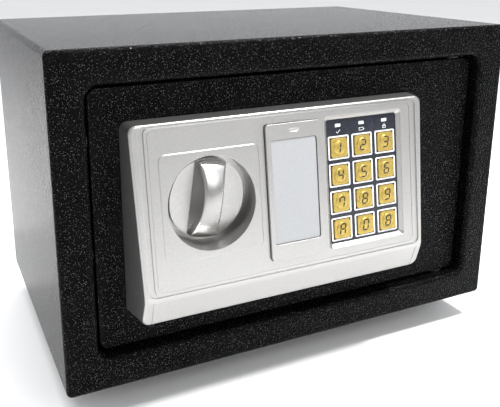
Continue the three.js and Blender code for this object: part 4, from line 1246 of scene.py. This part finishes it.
def build_screws():
    """The inner cover's domed screws, with crossed slots."""
    low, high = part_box("cover_screw_1")
    head_y = high.y
    head = (high.x - low.x) / 2
    master = turned(
        "screw_master",
        [
            (0, low.y - head_y),
            (2 * MM, low.y - head_y + 0.8 * MM),
            (2 * MM, -2.2 * MM),
            (head, -2.2 * MM),
            (head, -1.3 * MM),
            (head * 0.86, -0.65 * MM),
            (head * 0.6, -0.2 * MM),
            (0, 0),
        ],
        40,
    )
    for size in ((0.5 * MM, 1.9 * MM), (1.9 * MM, 0.5 * MM)):
        slot = prism("slot", outline(2 * size[0], 2 * size[1], 0.2 * MM), (-1.3 * MM, MM))
        combine("DIFFERENCE", master, slot)
    shade(master, 40)
    moved(master, Matrix.Rotation(math.pi / 2, 4, "X"))
    points = []
    names = [f"cover_screw_{i}" for i in range(1, 5)]
    for name in names:
        low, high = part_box(name)
        points.append(((low.x + high.x) / 2, -(low.z + high.z) / 2, high.y))
    mesh = bpy.data.meshes.new("cover_screws")
    mesh.from_pydata(points, [], [])
    screws = make_object("cover_screws", mesh)
    values = {"Piece": master, "Most Turn": math.tau, "Seed": 4, "Finish": FINISH["zinc_steel"]}
    grow(screws, REPEATS, values)
    moved(screws, Matrix.Rotation(-math.pi / 2, 4, "X"))
    bpy.data.objects.remove(master)
    hand_over(screws, "door", "zinc_steel", *names)


def build_winding():
    """The solenoid's wire, wound over a core of the same finish."""
    low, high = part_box("solenoid_coil")
    middle = (low + high) / 2
    wire = 0.42 * MM
    radius = (high.x - low.x) / 2 - wire
    height = high.z - low.z - 2 * wire
    bore = 4.3 * MM
    core = turned(
        "solenoid_winding",
        [(bore, 0), (radius, 0), (radius, high.z - low.z), (bore, high.z - low.z), (bore, 0)],
        48,
    )
    moved(core, Matrix.Rotation(math.pi / 2, 4, "X"))
    shade(core)
    paint(core, "copper")
    coil = make_object("coil", bpy.data.meshes.new("coil"))
    values = {
        "Coil Radius": radius,
        "Coil Height": height,
        "Turns": height / (2 * wire),
        "Wire Radius": wire,
        "Wire": FINISH["copper"],
    }
    grow(coil, WINDING, values)
    moved(coil, Matrix.Translation((0, 0, wire)))
    coil.data.shade_smooth()
    made = join_pieces(core, coil)
    moved(made, Matrix.Translation((middle.x, middle.y, low.z)))
    hand_over(made, "door", "copper", "solenoid_coil")


def build_battery_cover():
    """The cover over the cells, with a row of ribs for the thumb beside its pull."""
    low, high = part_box("battery_cover")
    flap = copy_of("battery_cover", "cell_door", 0.25 * MM)
    paint(flap, "black_plastic")
    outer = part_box("inner_cover")[1].y
    rib = prism("rib_master", outline(18 * MM, 0.9 * MM, 0.4 * MM, 0, 0, 4), (0, 0.6 * MM))
    soften(rib, 0.15 * MM, 2)
    moved(rib, Matrix.Rotation(math.pi / 2, 4, "X"))
    points = []
    for i in range(5):
        points.append(((low.x + high.x) / 2, -(low.z + (8 + 2 * i) * MM), outer - 0.05 * MM))
    mesh = bpy.data.meshes.new("ribs")
    mesh.from_pydata(points, [], [])
    ribs = make_object("ribs", mesh)
    values = {"Piece": rib, "Most Turn": 0.0, "Seed": 1, "Finish": FINISH["black_plastic"]}
    grow(ribs, REPEATS, values)
    moved(ribs, Matrix.Rotation(-math.pi / 2, 4, "X"))
    bpy.data.objects.remove(rib)
    flap = join_pieces(flap, ribs)
    hand_over(flap, "battery_cover", "black_plastic", "battery_cover")


def build_bolts():
    for end in ("upper", "lower"):
        node = f"lock_bolt_{end}"
        low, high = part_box(node)
        radius = (high.z - low.z) / 2
        length = high.x - low.x
        neck = 25 * MM
        bolt = turned(
            f"bolt_{end}",
            [
                (0, 0),
                (radius - 1.6 * MM, 0),
                (radius - 1.2 * MM, 0.1 * MM),
                (radius - 0.15 * MM, 1.2 * MM),
                (radius, 1.7 * MM),
                (radius, neck - 0.4 * MM),
                (radius - 0.4 * MM, neck),
                (4 * MM, neck),
                (4 * MM, neck + 2.6 * MM),
                (6 * MM, neck + 2.6 * MM),
                (5.6 * MM, neck + 3.6 * MM),
                (4.2 * MM, length),
                (0, length),
            ],
            72,
        )
        moved(bolt, Matrix.Rotation(-math.pi / 2, 4, "Z"))
        moved(bolt, Matrix.Translation((low.x, (low.y + high.y) / 2, (low.z + high.z) / 2)))
        shade(bolt, 30)
        paint(bolt, "bright_steel")
        hand_over(bolt, "bolts", "bright_steel", node)


# ------------------------------------------------------------------ pieces that keep their CAD shape


def copy_of(node, name, edge):
    """A copy of a CAD node with its edges rounded off and its faces shaded."""
    made = make_object(name, NODES[node].data.copy())
    tidy_mesh(made.data, flat=0.6 if edge else None)
    if edge:
        soften(made, edge, 2)
    return shade(made)


KEPT_SHAPES = {
    "case_paint": (0.4, ["door_plate", "door_tray", "inner_cover", "door_stop_upper", "door_stop_lower"]),
    "zinc_steel": (0.3, ["bolt_carriage", "knob_crank", "lock_cam", "solenoid_frame"]),
    "bright_steel": (
        0.25,
        [
            "hinge_pin_top",
            "hinge_pin_bottom",
            "knob_spindle",
            "guide_stud_1",
            "guide_stud_2",
            "lock_cylinder",
            "lock_plug",
            "solenoid_plunger",
        ],
    ),
    "nylon": (0.2, ["hinge_washer_top", "hinge_washer_bottom"]),
    "inlay": (0.12, ["cover_inlay"]),
    "faceplate": (0, ["keypad_faceplate"]),
    "window": (0.2, ["light_guide"]),
    "circuit_board": (0.1, ["keypad_board", "control_board"]),
    "black_plastic": (0.3, ["battery_box"]),
    "cell_wrap": (0.5, [f"battery_cell_{i}" for i in range(1, 5)]),
    "brass": (0.3, ["knob_bush"]),
    "red_plastic": (0.25, ["reset_button"]),
    "felt": (0.5, ["floor_mat"]),
}


def build_kept_shapes():
    for finish, (edge, nodes) in KEPT_SHAPES.items():
        for node in nodes:
            made = copy_of(node, f"fine_{node}", edge * MM)
            paint(made, finish)
            hand_over(made, BODY[node], finish, node)
    NODES["plunger_spring"].data.materials.clear()
    NODES["plunger_spring"].data.materials.append(FINISH["bright_steel"])


def build_floor():
    floor = prism("floor", outline(9, 9, 0.5, 0, 0), (0, 0.02))
    moved(floor, Matrix.Rotation(-math.pi / 2, 4, "X"))
    moved(floor, Matrix.Translation((0, 0, -0.02)))
    paint(floor, "floor")


make_camera()
light_room()
build_floor()
build_case()
build_panel()
build_cover()
build_knob()
build_keypad()
build_screws()
build_winding()
build_battery_cover()
build_bolts()
build_kept_shapes()
